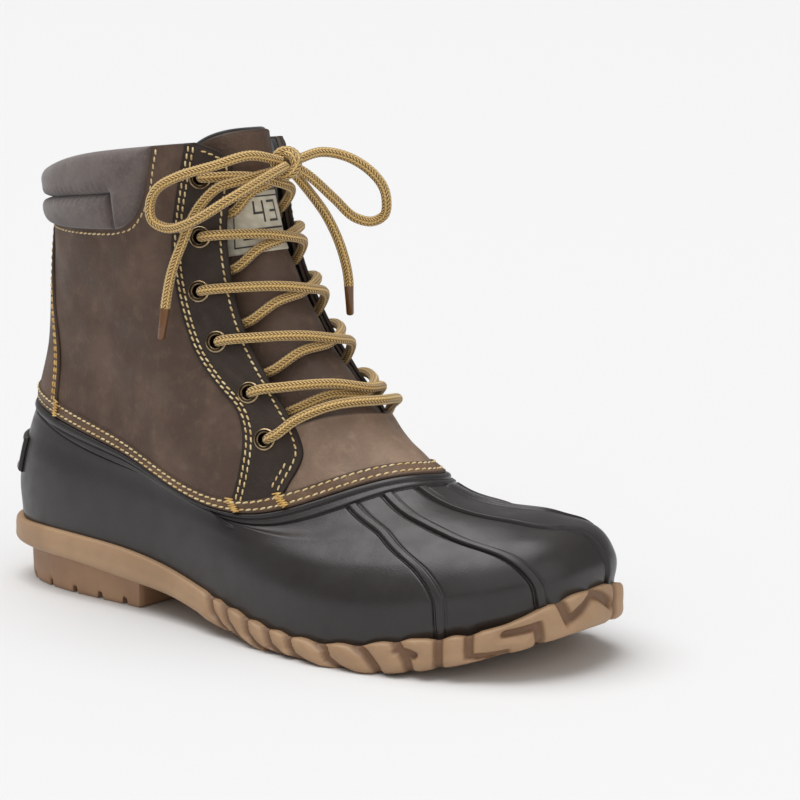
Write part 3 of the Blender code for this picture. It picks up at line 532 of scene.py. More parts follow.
def woven(name, colour, deep, thread_mm, roughness=0.9, deep_mm=0.2):
    """Plain or knitted cloth: crossing ribs of a thread's spacing."""
    made, tree, shader, place = principled(name, roughness, Sheen_Weight=0.3, Sheen_Roughness=0.5)
    sockets = {"Vector": place, "Scale": 1000 / thread_mm / 20, "Distortion": 1.0}
    first, second = (add(tree, "TexWave", sockets, bands_direction=way).outputs["Fac"]
                     for way in ("Z", "DIAGONAL"))
    ribs = add(tree, "Math", {0: first, 1: second}, operation="MULTIPLY").outputs[0]
    tone = mixed(tree, ribs, linear(deep), linear(colour))
    tree.links.new(tone, shader.inputs["Base Color"])
    bumps(tree, shader, ((ribs, deep_mm),))
    return made


def plain(name, colour, roughness, **sockets):
    """An even finish with a faint unevenness of gloss."""
    made, tree, shader, place = principled(name, roughness, **sockets)
    shader.inputs["Base Color"].default_value = linear(colour)
    gloss = between(tree, noise(tree, place, 3.0), 0.3, 0.7, roughness - 0.05, roughness + 0.05)
    tree.links.new(gloss, shader.inputs["Roughness"])
    return made


# The gum's groove colour is painted shade in the sole's grooves.
GUM = moulded_rubber("gum_rubber_moulded", "#ad8c6b", "#9f7f60", 0.5, 1.0, groove="#77583f")
HEEL_GUM = moulded_rubber("gum_rubber_heel", "#a98566", "#9a775a", 0.55, 1.0)
SHELL = moulded_rubber("rubber_satin_black", "#2d2928", "#262221", 0.35, 0.9)
QUARTER = waxed_leather("cowhide_waxed_quarter", "#645043", "#524137", "#745f4f", 0.56)
# The vamp is a lighter copy of the quarter's leather: painted light where it faces the lamp
# overhead.
VAMP_PAINTED_LIGHT = waxed_leather("cowhide_waxed_vamp_painted_light", "#917966", "#7d6756", "#a28974", 0.5)
STAY = waxed_leather("cowhide_waxed_stay", "#3a2e27", "#2f2620", "#44372e", 0.66)
STRIP = waxed_leather("cowhide_waxed_strip", "#6f5744", "#5f4a3a", "#85694f", 0.56)
TONGUE = waxed_leather("cowhide_waxed_tongue", "#5f4b3e", "#4d3d33", "#6e5949", 0.56)
COLLAR = nubuck("nubuck_grey", "#6a5f5b", "#5b514e", "#7c716c")
THREAD = sewing_thread("polyester_thread_cream", "#e6d4a6", "#c9a768")
GOLD_THREAD = sewing_thread("polyester_thread_gold", "#e0b866", "#bd9146")
DARK_THREAD = sewing_thread("polyester_thread_grey", "#4a4543", "#3a3634")
BRASS = antique_brass("brass_antique")
BRAID = braided_cord("polyester_braid_gold")
TIP = plain("acetate_brown", "#6b4522", 0.32, Coat_Weight=0.4)
LABEL = woven("satin_label_cream", "#ded8c6", "#cfc7b2", 0.6, 0.7, 0.05)
PRINT = plain("label_ink", "#4a4844", 0.8)
LINING = woven("polyester_mesh_black", "#242222", "#100f0f", 1.4)
FELT = nubuck("felt_insole", "#2e2b2a", "#232120", "#3a3634")


# Camera at the photograph's angle

def make_camera():
    """A long lens from the boot's outer front side, a little above it."""
    place = np.array([860.466, -797.410, 277.0])
    aim = np.array([185.834, 31.932, 93.0])
    data = bpy.data.cameras.new("camera")
    data.lens = 114.66
    data.sensor_width = 36.0
    camera = bpy.data.objects.new("camera", data)
    bpy.context.scene.collection.objects.link(camera)
    camera.location = (place - CENTRE) * METRE
    camera.rotation_euler = Vector(aim - place).to_track_quat("-Z", "Y").to_euler()
    bpy.context.scene.camera = camera


make_camera()


# Lace and bow

LACE_RADIUS = 2.1
STITCH_ALONG = 1.5
BRAID_COLUMNS = 10
Eyelet = namedtuple("Eyelet", "level turn dive")
EYELETS = (
    Eyelet(4.86, 0.361, None), Eyelet(5.38, 0.366, 5.13), Eyelet(5.94, 0.357, 5.58),
    Eyelet(6.48, 0.357, 6.12), Eyelet(7.04, 0.375, 6.68), Eyelet(7.64, 0.387, 7.24),
)
# Eyestay: level, turn of its rear seam and of its front edge
STAY_REAR = (
    (4.10, 0.312), (4.30, 0.320), (4.60, 0.332), (5.00, 0.345), (5.25, 0.347), (5.50, 0.339),
    (5.80, 0.331), (6.10, 0.329), (6.80, 0.334), (7.15, 0.342), (7.75, 0.362), (8.00, 0.372),
)
STAY_FRONT = (
    (4.10, 0.350), (4.30, 0.364), (4.45, 0.376), (4.60, 0.385), (4.80, 0.389), (5.25, 0.390),
    (6.10, 0.392), (6.80, 0.404), (7.15, 0.414), (7.40, 0.424), (7.62, 0.433), (7.74, 0.435),
    (7.81, 0.431), (7.87, 0.423), (7.92, 0.412), (7.96, 0.400), (8.00, 0.386),
)
OVER_STAY = 4.6
CROSS_OVER = 5.2
CROSS_UNDER = 1.3
DIVE = -3.6

KNOT = np.array([151.5, 0.0, 194.0])
BOW_LATERAL = (
    (150.8, -3.5, 195.0), (147, -19, 198), (138, -31, 194), (124, -39, 189), (116, -42, 184),
    (113, -43, 178), (114, -43, 171), (120, -41, 168), (133, -40, 171), (146, -32, 180),
    (153.6, -12, 190.5), (153.4, -3.5, 193),
)
BOW_MEDIAL = (
    (153.0, 3.5, 195.2), (157, 15, 198), (164, 23, 196), (171, 30, 190), (175, 34, 183),
    (176, 35, 177), (174, 36, 171), (169, 34, 168), (164, 28, 170), (160, 20, 178),
    (155.8, 8, 188.6), (154, 3, 191.8),
)
END_LATERAL = (
    (150, -3, 191.4), (145, -20, 188), (138, -28, 185), (133, -31, 180), (129, -33, 174),
    (126, -37, 163), (122, -40, 150), (121, -43, 136), (121, -45, 122),
)
END_MEDIAL = (
    (150.5, 3, 191), (152, 13, 181), (156, 19, 171), (160, 24, 157), (161.5, 27, 143),
    (160, 28, 128),
)
TIP_LENGTH = 13.0
CORD_STEP = 0.6
KnotTurn = namedtuple("KnotTurn", "wide tall tilt lean shift")
KNOT_TURNS = (
    KnotTurn(5.0, 5.4, 22.0, -18.0, (0.0, -1.2, 0.0)),
    KnotTurn(4.3, 4.6, -24.0, 30.0, (0.4, 1.6, -0.4)),
)
KNOT_WAVE = 0.9


def stay_front(level):
    """Turn of the eyestay's front edge at a level."""
    return curve(STAY_FRONT, level)


def evenly(points, spacing):
    """Points about a spacing apart on a smooth curve through a route's own points."""
    points = np.array(points, float)
    reach = np.concatenate([[0], np.cumsum(np.linalg.norm(np.diff(points, axis=0), axis=1))])
    fine = np.linspace(0, reach[-1], max(8, int(reach[-1] * 4)))
    line = np.stack([hermite(reach, axis, fine) for axis in points.T], axis=-1)
    walked = np.concatenate([[0], np.cumsum(np.linalg.norm(np.diff(line, axis=0), axis=1))])
    where = np.linspace(0, walked[-1], max(4, int(round(walked[-1] / spacing)) + 1))
    return np.stack([np.interp(where, walked, axis) for axis in line.T], axis=-1)


def carried_frames(path, closed=False):
    """Two directions across a path at each point, carried along it without twist."""
    if closed:
        ahead = np.roll(path, -1, axis=0) - np.roll(path, 1, axis=0)
    else:
        ahead = np.gradient(path, axis=0)
    ahead /= np.linalg.norm(ahead, axis=1, keepdims=True)
    side = np.cross(ahead[0], [0.0, 0.0, 1.0])
    if np.linalg.norm(side) < 0.1:
        side = np.cross(ahead[0], [0.0, 1.0, 0.0])
    sides = []
    for way in ahead:
        side = side - way * side.dot(way)
        side = side / np.linalg.norm(side)
        sides.append(side)
    sides = np.array(sides)
    return sides, np.cross(ahead, sides)


def braid(name, path, radius=LACE_RADIUS, closed=False, around=20):
    """Cord: circles carried along a path, swollen a little at each stitch of the braid, with a map
    of stitches along it and columns round it."""
    sides, ups = carried_frames(path, closed)
    steps = np.linalg.norm(np.diff(path, axis=0), axis=1)
    walked = np.concatenate([[0], np.cumsum(steps)]) / STITCH_ALONG
    turns = np.arange(around) / around
    angle = 2 * np.pi * turns[None, :]
    column = turns * BRAID_COLUMNS
    lean = np.where(np.floor(column) % 2 == 1, -1.0, 1.0)
    phase = walked[:, None] + (column % 1) * lean
    swell = radius * (0.985 + 0.035 * np.abs(np.sin(np.pi * phase)) * np.sin(np.pi * (column % 1)))
    swell = swell[..., None]
    rings = path[:, None] + swell * (np.cos(angle)[..., None] * sides[:, None]
                                     + np.sin(angle)[..., None] * ups[:, None])
    rows = len(path)
    faces = grid(rows, around, closed=True, looped=closed)
    whole = faces if closed else tube_faces(rows, around)
    made = piece(name, rings.reshape(-1, 3), whole, BRAID)
    mapping = made.data.uv_layers.new(name="lay")
    row, place = faces // around, faces % around
    along = walked[row]
    if closed:
        wrap = (row == 0) & (row.max(axis=1, keepdims=True) == rows - 1)
        along = np.where(wrap, walked[-1] + steps.mean() / STITCH_ALONG, along)
    last = (place == 0) & (place.max(axis=1, keepdims=True) == around - 1)
    round_it = np.where(last, around, place) / around * BRAID_COLUMNS
    numbers = np.stack([along, round_it], axis=-1).reshape(-1, 2)
    if not closed:
        numbers = np.concatenate([numbers, np.zeros((2 * around, 2))])
    mapping.data.foreach_set("uv", numbers.astype(np.float32).ravel())
    return made


def strand_path(eyelet, mirrored, over):
    """Centre line of one strand: from under the far edge, across the throat, into its eyelet."""
    dive = eyelet.dive
    middle = CROSS_OVER if over else CROSS_UNDER
    near = float(stay_front(eyelet.level))
    far = 1 - float(stay_front(dive))
    stops = (
        (far + 0.030, dive - 0.12, DIVE),
        (far + 0.004, dive, DIVE),
        (far - 0.011, dive + 0.03, -1.6),
        (0.5 + (far - 0.5) * 0.5, (eyelet.level + dive) / 2, middle - 0.5),
        (0.5, eyelet.level - 0.11, middle),
        (0.5 - (0.5 - near) * 0.45, eyelet.level - 0.05, (OVER_STAY + middle) / 2),
        (near, eyelet.level - 0.01, OVER_STAY),
        (eyelet.turn + 0.0125, eyelet.level, OVER_STAY - 0.3),
        (eyelet.turn + 0.0035, eyelet.level, 2.6),
        (eyelet.turn - 0.001, eyelet.level, -2.6),
    )
    turn, level, depth = np.array(stops).T
    return skin(mirrored_turn(turn, mirrored), level, depth)


def make_laces():
    """The bar at the lowest eyelets, then two strands a row, the lateral one on top."""
    lowest = EYELETS[0]
    stops = (
        (lowest.turn - 0.001, lowest.level, -2.6), (lowest.turn + 0.0035, lowest.level, 2.6),
        (lowest.turn + 0.0125, lowest.level + 0.02, OVER_STAY - 0.3),
        (0.392, 4.97, OVER_STAY + 0.6), (0.43, 5.05, 6.6), (0.5, 5.08, 7.2),
    )
    turn, level, depth = np.array(stops + tuple((1 - t, v, d) for t, v, d in stops[-2::-1])).T
    bar = braid("lace_bar_cord", evenly(skin(turn, level, depth), CORD_STEP))
    done(bar, "lace_braid", "lace_bar")
    for number, eyelet in enumerate(EYELETS[1:], 2):
        for side, mirrored in SIDES:
            path = evenly(strand_path(eyelet, mirrored, over=not mirrored), CORD_STEP)
            strand = braid("lace_strand_%s_%d" % (side, number), path)
            nodes = ["lace_cross_%d" % number] if not mirrored else []
            done(strand, "lace_braid", *nodes)


def make_knot():
    """Two turns of cord round the crossing of the bow: closed rings, tilted against each other."""
    made = []
    for number, (wide, tall, tilt, lean, shift) in enumerate(KNOT_TURNS, 1):
        angle = np.linspace(0, 2 * np.pi, 56, endpoint=False)
        ring = [wide * np.cos(angle), KNOT_WAVE * np.sin(2 * angle), tall * np.sin(angle)]
        ring = np.stack(ring, axis=-1)
        cos_z, sin_z = math.cos(math.radians(tilt)), math.sin(math.radians(tilt))
        cos_x, sin_x = math.cos(math.radians(lean)), math.sin(math.radians(lean))
        turn_z = np.array([[cos_z, -sin_z, 0], [sin_z, cos_z, 0], [0, 0, 1]])
        turn_x = np.array([[1, 0, 0], [0, cos_x, -sin_x], [0, sin_x, cos_x]])
        path = KNOT + np.array(shift) + ring @ (turn_z @ turn_x).T
        knot = braid("lace_knot_turn_%d" % number, path, LACE_RADIUS * 0.95, closed=True)
        made.append(done(knot, "lace_braid", *(["lace_knot"] if number == 1 else [])))
    return made


def make_tip(side, end):
    """Hard sleeve on a lace end: a tube that narrows a little and is rounded at its foot."""
    way = end[-1] - end[-4]
    way = way / np.linalg.norm(way)
    shares = np.array([0.0, 0.0, 0.04, 0.5, 0.93, 0.98, 1.0])
    radii = np.array([1.5, 1.95, 2.05, 1.8, 1.65, 1.3, 0.7])
    path = end[-1] + way * shares[:, None] * TIP_LENGTH
    sides, ups = carried_frames(np.array([end[-1] + way * k for k in range(len(shares))]))
    around = 20
    angle = 2 * np.pi * np.arange(around)[None, :] / around
    rings = path[:, None] + radii[:, None, None] * (np.cos(angle)[..., None] * sides[:, None]
                                                    + np.sin(angle)[..., None] * ups[:, None])
    faces = tube_faces(len(shares), around)
    tip = piece("lace_tip_sleeve_" + side, rings.reshape(-1, 3), faces, TIP)
    tip.data.set_sharp_from_angle(angle=math.radians(50))
    return done(tip, "tip_plastic", "lace_tip_" + side)


def make_bow():
    """Two loops and two ends, each a free cord that leaves the knot."""
    knot = make_knot()
    for side, route in (("lateral", BOW_LATERAL), ("medial", BOW_MEDIAL)):
        path = evenly(route, CORD_STEP)
        loop = done(braid("bow_loop_cord_" + side, path), "lace_braid", "bow_loop_" + side)
    for side, route in (("lateral", END_LATERAL), ("medial", END_MEDIAL)):
        path = evenly(route, CORD_STEP)
        path = path[:len(path) - int(TIP_LENGTH / CORD_STEP)]
        end = done(braid("lace_end_cord_" + side, path), "lace_braid", "lace_end_" + side)
        tip = make_tip(side, path)


make_laces()
make_bow()


# Stitches

THREAD_RADIUS = 0.42
STITCH_PITCH = 3.1
STITCH_SUNK = 0.12
STITCH_SLANT = 0.35


def stitch_rods(name, lines, finish, pitch=STITCH_PITCH, radius=THREAD_RADIUS, share=0.72,
                lift=0.25):
    """Separate stitches along lines of (points, normals), each a six-sided rod that arches a little
    out of the leather: p(t) = start + way t + normal (lift sin(pi t) - sunk) + across slant t."""
    stops = np.array([0.0, 0.12, 0.5, 0.88, 1.0])
    sizes = np.array([0.55, 0.95, 1.0, 0.95, 0.55]) * radius
    sides = 6
    angle = 2 * np.pi * np.arange(sides) / sides
    rods = []
    for points, normals in lines:
        reach = np.concatenate([[0], np.cumsum(np.linalg.norm(np.diff(points, axis=0), axis=1))])
        count = max(1, int(round(reach[-1] / pitch)))
        starts = (np.arange(count) + (1 - share) / 2) * reach[-1] / count
        where = starts[:, None] + stops[None, :] * share * reach[-1] / count
        centre = np.stack([np.interp(where, reach, axis) for axis in points.T], axis=-1)
        out = np.stack([np.interp(where, reach, axis) for axis in normals.T], axis=-1)
        out /= np.linalg.norm(out, axis=-1, keepdims=True)
        way = centre[:, -1:] - centre[:, :1]
        way = way / np.linalg.norm(way, axis=-1, keepdims=True)
        across = np.cross(out, way)
        rise = lift * np.sin(np.pi * stops) - STITCH_SUNK
        centre = centre + out * rise[None, :, None]
        centre = centre + across * (stops - 0.5)[None, :, None] * STITCH_SLANT
        circle = (np.cos(angle)[None, None, :, None] * across[:, :, None]
                  + np.sin(angle)[None, None, :, None] * out[:, :, None])
        rods.append(centre[:, :, None] + circle * sizes[None, :, None, None])
    rods = np.concatenate(rods)
    count = len(rods)
    one = grid(len(stops), sides, closed=True)
    size = len(stops) * sides
    quads = (one[None] + (np.arange(count) * size)[:, None, None]).reshape(-1, 4)
    first = np.arange(sides)[::-1][None] + (np.arange(count) * size)[:, None]
    last = np.arange(size - sides, size)[None] + (np.arange(count) * size)[:, None]
    faces = quads.tolist() + first.tolist() + last.tolist()
    return piece(name, rods.reshape(-1, 3), faces, finish)


def seam_line(turn, level, depth):
    """Points and normals along a seam on the boot."""
    turn, level = np.asarray(turn, float), np.asarray(level, float)
    return skin(turn, level, depth), normal(turn, level)


def shifted_line(turns, levels, shift, depth):
    """A seam moved sideways by millimetres, along the surface, to its left as it runs."""
    rate = per_turn(turns, levels)
    step = 1e-2
    rise = np.linalg.norm(surface(turns, levels + step) - surface(turns, levels - step), axis=-1)
    rise = rise / (2 * step)
    along_turn, along_level = np.gradient(turns) * rate, np.gradient(levels) * rise
    length = np.hypot(along_turn, along_level)
    moved_turn = turns - along_level / length * shift / rate
    moved_level = levels + along_turn / length * shift / rise
    return seam_line(moved_turn, moved_level, depth)


# Sole

# Height of the sole's side by turn, in shares of what it is on the solids, in the photo
SOLE_TOP = (
    (0.0, 0.72), (0.080, 0.80), (0.112, 0.93), (0.150, 1.06), (0.184, 1.10), (0.212, 1.02),
    (0.241, 0.89), (0.262, 0.84), (0.300, 0.80), (0.343, 0.81), (0.366, 0.83), (0.383, 0.74),
    (0.418, 0.68), (0.440, 0.78), (0.461, 0.97), (0.500, 1.15),
)
HEEL_INSET = 4.0
HEEL_BREAST = 95.0
HEEL_CORNER = 1.6
HEEL_MIDDLE = 47.0
HEEL_HALF = 40.0
# Rings of the heel block from its top down: share of its height, and how far each is pulled in
HEEL_RINGS = (
    (1.0, 0.0), (0.8, 0.05), (0.5, 0.15), (0.3, 0.25), (0.12, 0.35), (0.04, 0.6), (0.0, 1.3),
)
GROOVE_WIDTH = 2.6
GROOVE_BEND = 6.0
LUG_DEPTH = 3.0
SOLE_MIDDLE = 2.5
SOLE_HALF = 70.0
# How far the sole's side stands out from the feather line, by share of its height
SIDE_PROFILE = ((0, 0.9), (0.1, 2.6), (0.5, 3.2), (0.88, 2.9), (0.96, 2.5), (1, 1.9))
# Height of the underside by distance from the back
UNDERSIDE = (
    (0.0, 17.5), (60.0, 16.5), (90.0, 13.6), (120.0, 11.0), (150.0, 5.4), (170.0, 1.4),
    (182.0, 0.0), (235.0, 0.0), (265.0, 5.2), (290.0, 13.0), (303.0, 18.5), (310.0, 21.0),
)
# Grooves between the pads of the sole's side, each by turn and by share of the side's height
PAD_GROOVES = (
    ((0.2465, 1.15), (0.2493, 0.79), (0.2517, 0.46), (0.2577, 0.20), (0.2665, -0.05)),
    ((0.2570, 1.15), (0.2598, 0.79), (0.2622, 0.46), (0.2682, 0.20), (0.2770, -0.05)),
    ((0.2715, 1.15), (0.2742, 0.78), (0.2758, 0.47), (0.2802, 0.25), (0.2874, 0.10),
     (0.295, -0.05)),
    ((0.2855, 1.15), (0.2890, 0.72), (0.2910, 0.37), (0.2994, 0.08), (0.307, -0.05)),
    ((0.3005, 1.15), (0.3029, 0.60), (0.3057, 0.25), (0.3121, 0.05), (0.3165, -0.05)),
    ((0.3170, 1.15), (0.3234, 0.79), (0.3254, 0.37), (0.3314, 0.11), (0.3366, -0.05)),
    ((0.3385, 1.15), (0.3461, 0.72), (0.3493, 0.45), (0.3525, 0.19), (0.3535, -0.05)),
    ((0.3610, 1.15), (0.3672, 0.59), (0.3696, 0.34), (0.3708, -0.05)),
    ((0.3640, 0.75), (0.3730, 0.52)),
    ((0.3872, 1.15), (0.3872, -0.05)),
    ((0.4056, 1.15), (0.4052, 0.52), (0.4056, 0.25), (0.4160, 0.14), (0.4288, 0.08)),
    ((0.4288, 0.72), (0.4400, 0.64), (0.4516, 0.58), (0.4528, 0.32), (0.4540, -0.05)),
    ((0.4684, 1.15), (0.4768, 0.42), (0.4892, 0.61), (0.4980, 0.88), (0.5116, 0.50)),
    ((0.5230, 1.15), (0.5200, 0.87), (0.5176, -0.05)),
)
TOE_GROOVES = 2
FOREFOOT_GROOVES = (178.0, 194.0, 210.0, 226.0, 242.0, 258.0)
HEEL_GROOVES = (17.0, 33.0, 51.0, 68.0, 84.0)


def rim_point(turn, out):
    """Points beside the feather line: out along the level normal."""
    flat = normal(turn, np.zeros_like(turn)) * np.array([1, 1, 0])
    flat /= np.linalg.norm(flat, axis=-1, keepdims=True)
    return surface(turn, np.zeros_like(turn)) + flat * np.asarray(out, float)[..., None]


def underside(x):
    """Height of the sole's underside at a distance from the back, nowhere below the floor."""
    return np.maximum(curve(UNDERSIDE, x), 0.0)


def groove_distance(turn, share, rate, tall):
    """Distance in millimetres from the nearest groove, measured on the sole's side."""
    best = np.full(turn.shape, 1e3)
    lines = list(PAD_GROOVES)
    lines += [tuple((1 - t, v) for t, v in line) for line in PAD_GROOVES[:-TOE_GROOVES]]
    for line in lines:
        for (t0, v0), (t1, v1) in zip(line, line[1:]):
            px, py = (turn - t0) * rate, (share - v0) * tall
            best = np.minimum(best, from_line(px, py, (t1 - t0) * rate, (v1 - v0) * tall))
    return best


def make_outsole():
    """Gum sole: a side band carried round the feather line, cut into pads ahead of the waist, and
    an underside with its cross grooves."""
    columns = 1100
    turns = np.arange(columns) / columns
    base = surface(turns, np.zeros_like(turns))
    top, low = base[:, 2] - 0.2, underside(base[:, 0])
    tall = top - low
    rate = per_turn(turns, 0.0)
    from_back = np.minimum(turns, 1 - turns)
    padded = smooth(0.238, 0.247, from_back)
    crest = groove_distance(turns[None], np.ones((1, columns)), rate[None], tall[None])[0]
    lift = padded * (1.1 * smooth(0.0, 6.0, crest) - 0.5) + (1 - padded) * 0.25
    side_tall = tall * curve(SOLE_TOP, from_back)
    shares = np.concatenate([[1.0, 1.0], 1 - np.linspace(0, 1, 27) ** 1.1])
    rings, grooves = [], []
    for number, share in enumerate(shares):
        profile = float(curve(SIDE_PROFILE, share))
        if number == 0:
            profile = -5.0
        if number == 1:
            profile = 0.0
        away = groove_distance(turns[None], np.full((1, columns), share), rate[None], tall[None])[0]
        cut = (1 - smooth(1.1, 2.5, away)) * padded
        crown = 0.9 * smooth(1.6, 5.5, away) * padded
        out = profile + (0 if number < 2 else 1) * (crown - 2.2 * cut)
        ring = rim_point(turns, out)
        ring[:, 2] = low + (side_tall + (lift if number else -1.0)) * share
        rings.append(ring)
        grooves.append(cut * (0 if number < 2 else 1))
    edge = rings[-1]
    for share in np.linspace(0.985, 0.0, 26):
        ring = edge.copy()
        ring[:, 1] = SOLE_MIDDLE + (edge[:, 1] - SOLE_MIDDLE) * share
        depth = np.zeros(columns)
        for x in FOREFOOT_GROOVES:
            line = x + GROOVE_BEND * (1 - np.abs(ring[:, 1]) / SOLE_HALF) + GROOVE_WIDTH / 2
            depth = np.maximum(depth, 1 - smooth(1.0, 1.9, np.abs(ring[:, 0] - line)))
        ring[:, 2] = underside(ring[:, 0]) + LUG_DEPTH * depth
        rings.append(ring)
        grooves.append(depth)
    rings, grooves = np.array(rings), np.array(grooves)
    faces = grid(len(rings), columns, closed=True)[:, ::-1].tolist()
    faces += ring_shut(columns)
    # The groove values mark where the sole's grooves get painted shade.
    sole = piece("outsole_gum", rings.reshape(-1, 3), faces, GUM, merge=0.01,
                 values={"groove": grooves})
    sole.data.set_sharp_from_angle(angle=math.radians(60))
    done(sole, "gum_rubber", "outsole")


def make_heel_block():
    """Heel block: the sole's outline set in, with a flat breast and notches along its foot."""
    turns = np.linspace(-0.33, 0.33, 900)
    ring = rim_point(turns % 1.0, -HEEL_INSET)
    ring = ring[ring[:, 0] < HEEL_BREAST - 2.5]
    ends = ring[-1], ring[0]
    corner = [np.array([HEEL_BREAST - 0.8, end[1], 0.0]) for end in ends]
    first, last = (end[1] - HEEL_CORNER * np.sign(end[1]) for end in ends)
    y = np.linspace(first, last, 60)
    breast = np.stack([np.full_like(y, HEEL_BREAST), y, np.zeros_like(y)], axis=-1)
    outline = np.concatenate([ring, corner[:1], breast, corner[1:]])
    notch = np.zeros(len(outline))
    for x in HEEL_GROOVES:
        away = np.abs(outline[:, 0] - x - GROOVE_WIDTH / 2)
        notch = np.maximum(notch, 1 - smooth(1.1, 1.8, away))
    foot = 0.15 + LUG_DEPTH * notch
    top = underside(outline[:, 0]) + 3.0
    rings = []
    for share, inset in HEEL_RINGS:
        level = outline.copy()
        pull = 1 - inset / HEEL_HALF
        level[:, 0] = HEEL_MIDDLE + (outline[:, 0] - HEEL_MIDDLE) * pull
        level[:, 1] = outline[:, 1] * pull
        level[:, 2] = foot + (top - foot) * share
        rings.append(level)
    lowest = rings[-1]
    for share in (0.97, 0.9, 0.75, 0.5, 0.25, 0.0):
        level = lowest.copy()
        level[:, 1] = level[:, 1] * share
        rings.append(level)
    rings = np.array(rings)
    count = rings.shape[1]
    faces = grid(len(rings), count, closed=True)[:, ::-1].tolist()
    faces += ring_shut(count, int(np.argmin(outline[:, 0])))
    block = piece("heel_block_gum", rings.reshape(-1, 3), faces, HEEL_GUM, merge=0.01)
    block.data.set_sharp_from_angle(angle=math.radians(40))
    done(block, "gum_rubber")


# Rubber shell

# Ridges over the toe: side of their deeper groove, and their turn by level
Ridge = namedtuple("Ridge", "side path")
RIDGES = (
    Ridge(-1, ((0.0, 0.388), (1.13, 0.385), (1.75, 0.381), (2.65, 0.3755), (3.23, 0.381),
               (3.9, 0.394))),
    Ridge(-1, ((0.0, 0.457), (0.97, 0.450), (1.82, 0.437), (2.66, 0.415), (3.24, 0.411),
               (3.9, 0.425))),
    Ridge(-1, ((0.0, 0.518), (1.37, 0.513), (2.1, 0.504), (2.7, 0.480), (3.2, 0.459),
               (3.9, 0.461))),
    Ridge(1, ((0.0, 0.580), (1.5, 0.575), (2.3, 0.565), (2.9, 0.548), (3.5, 0.530), (3.9, 0.509))),
    Ridge(1, ((0.0, 0.642), (1.5, 0.635), (2.6, 0.618), (3.2, 0.600), (3.7, 0.580), (3.9, 0.572))),
)
# How far the flat band reaches below the leather's edge, by turn
BAND_DROPS = (
    (0.0, 2.6), (0.10, 3.4), (0.19, 8.5), (0.29, 7.6), (0.38, 7.6), (0.44, 6.4), (0.50, 5.6),
)
SHELL_WALL = 2.5
# How far the shell goes on down behind the sole's side, and how far it is set in there
SHELL_FOOT = 7.0
FOOT_INSET = 0.6
TUCK = 1.2


def shell_depth(turn, level):
    """Relief of the shell: lip under the leather, flat band, step, and the ribs over the toe."""
    spacing = np.linalg.norm(surface(turn, EDGE_LEVEL) - surface(turn, EDGE_LEVEL - 1), axis=-1)
    drop = (EDGE_LEVEL - level) * spacing
    band = curve(BAND_DROPS, np.minimum(turn, 1 - turn))
    lip = 0.9 * np.sqrt(np.clip(1 - ((drop - 1.7) / 1.7) ** 2, 0, 1))
    flat = 0.9 * (1 - smooth(band - 0.2, band + 0.5, drop))
    under_band = -0.5 * np.exp(-((drop - band - 0.7) / 0.5) ** 2)
    under_lip = -0.35 * np.exp(-((drop - 3.6) / 0.4) ** 2)
    depth = flat + (lip + under_band + under_lip) * smooth(0.0, 0.5, drop)
    rate = per_turn(turn, level)
    below = smooth(band + 0.2, band + 1.4, drop)
    for ridge in RIDGES:
        away = (turn - curve(ridge.path, level)) * rate * ridge.side
        rib = 1.0 * (1 - smooth(1.3, 2.0, np.abs(away)))
        deep_side = -1.1 * np.exp(-((away - 2.5) / 0.65) ** 2)
        near_side = -0.35 * np.exp(-((away + 2.4) / 0.5) ** 2)
        depth = depth + (rib + deep_side + near_side) * below
    return depth


def shell_columns():
    """Places of the shell's columns at its foot, close together beside each ridge."""
    feet = np.array([ridge.path[0][1] for ridge in RIDGES])
    beside = (feet[:, None] + np.linspace(-0.011, 0.011, 33)).ravel()
    plain_steps = np.arange(0, 1, 0.0033)
    clear = np.abs(plain_steps[:, None] - feet).min(axis=1) > 0.0125
    return np.sort(np.concatenate([beside, plain_steps[clear]]))


def follow_ridges(columns, row_level):
    """Turns and levels of a row whose columns keep their share between the ridges beside them."""
    feet = [ridge.path[0][1] for ridge in RIDGES]
    turns = columns
    for _ in range(3):
        level = row_level(turns)
        here = [float(curve(ridge.path, np.interp(foot, columns, level)))
                for ridge, foot in zip(RIDGES, feet)]
        turns = np.interp(columns, [0, 0.32, *feet, 0.72, 1], [0, 0.32, *here, 0.72, 1])
    return turns, row_level(turns)


def make_shell():
    """Rubber bottom: from behind the sole's side up its outside, over the lip, behind the leather
    and down its inside."""
    columns = shell_columns()
    fine_rows = 12.0
    rows = []
    for share in np.linspace(0, 1, 84)[:-1]:
        turns, level = follow_ridges(columns, lambda turn: share * off_edge(turn, -fine_rows))
        rows.append(skin(turns, level, shell_depth(turns, level)))
    for drop in np.linspace(fine_rows, 0.35, 44):
        turns, level = follow_ridges(columns, lambda turn: off_edge(turn, -drop))
        rows.append(skin(turns, level, shell_depth(turns, level)))
    for rise, depth in ((0.0, 0.1), (0.3, -0.9), (1.2, -TUCK), (6.0, -TUCK), (6.3, -TUCK - 1.2),
                        (6.0, -TUCK - SHELL_WALL), (1.0, -TUCK - SHELL_WALL)):
        rows.append(skin(turns, off_edge(turns, rise), depth))
    for share in np.linspace(0.97, 0.0, 9):
        rows.append(skin(turns, level * share, -SHELL_WALL))
    rows.insert(0, skin(columns, 0.0, -FOOT_INSET) - np.array([0.0, 0.0, SHELL_FOOT]))
    faces = grid(len(rows), len(columns), closed=True, looped=True)
    shell = piece("rubber_shell_moulded", np.concatenate(rows), faces, SHELL)
    done(shell, "shell_rubber", "rubber_shell")


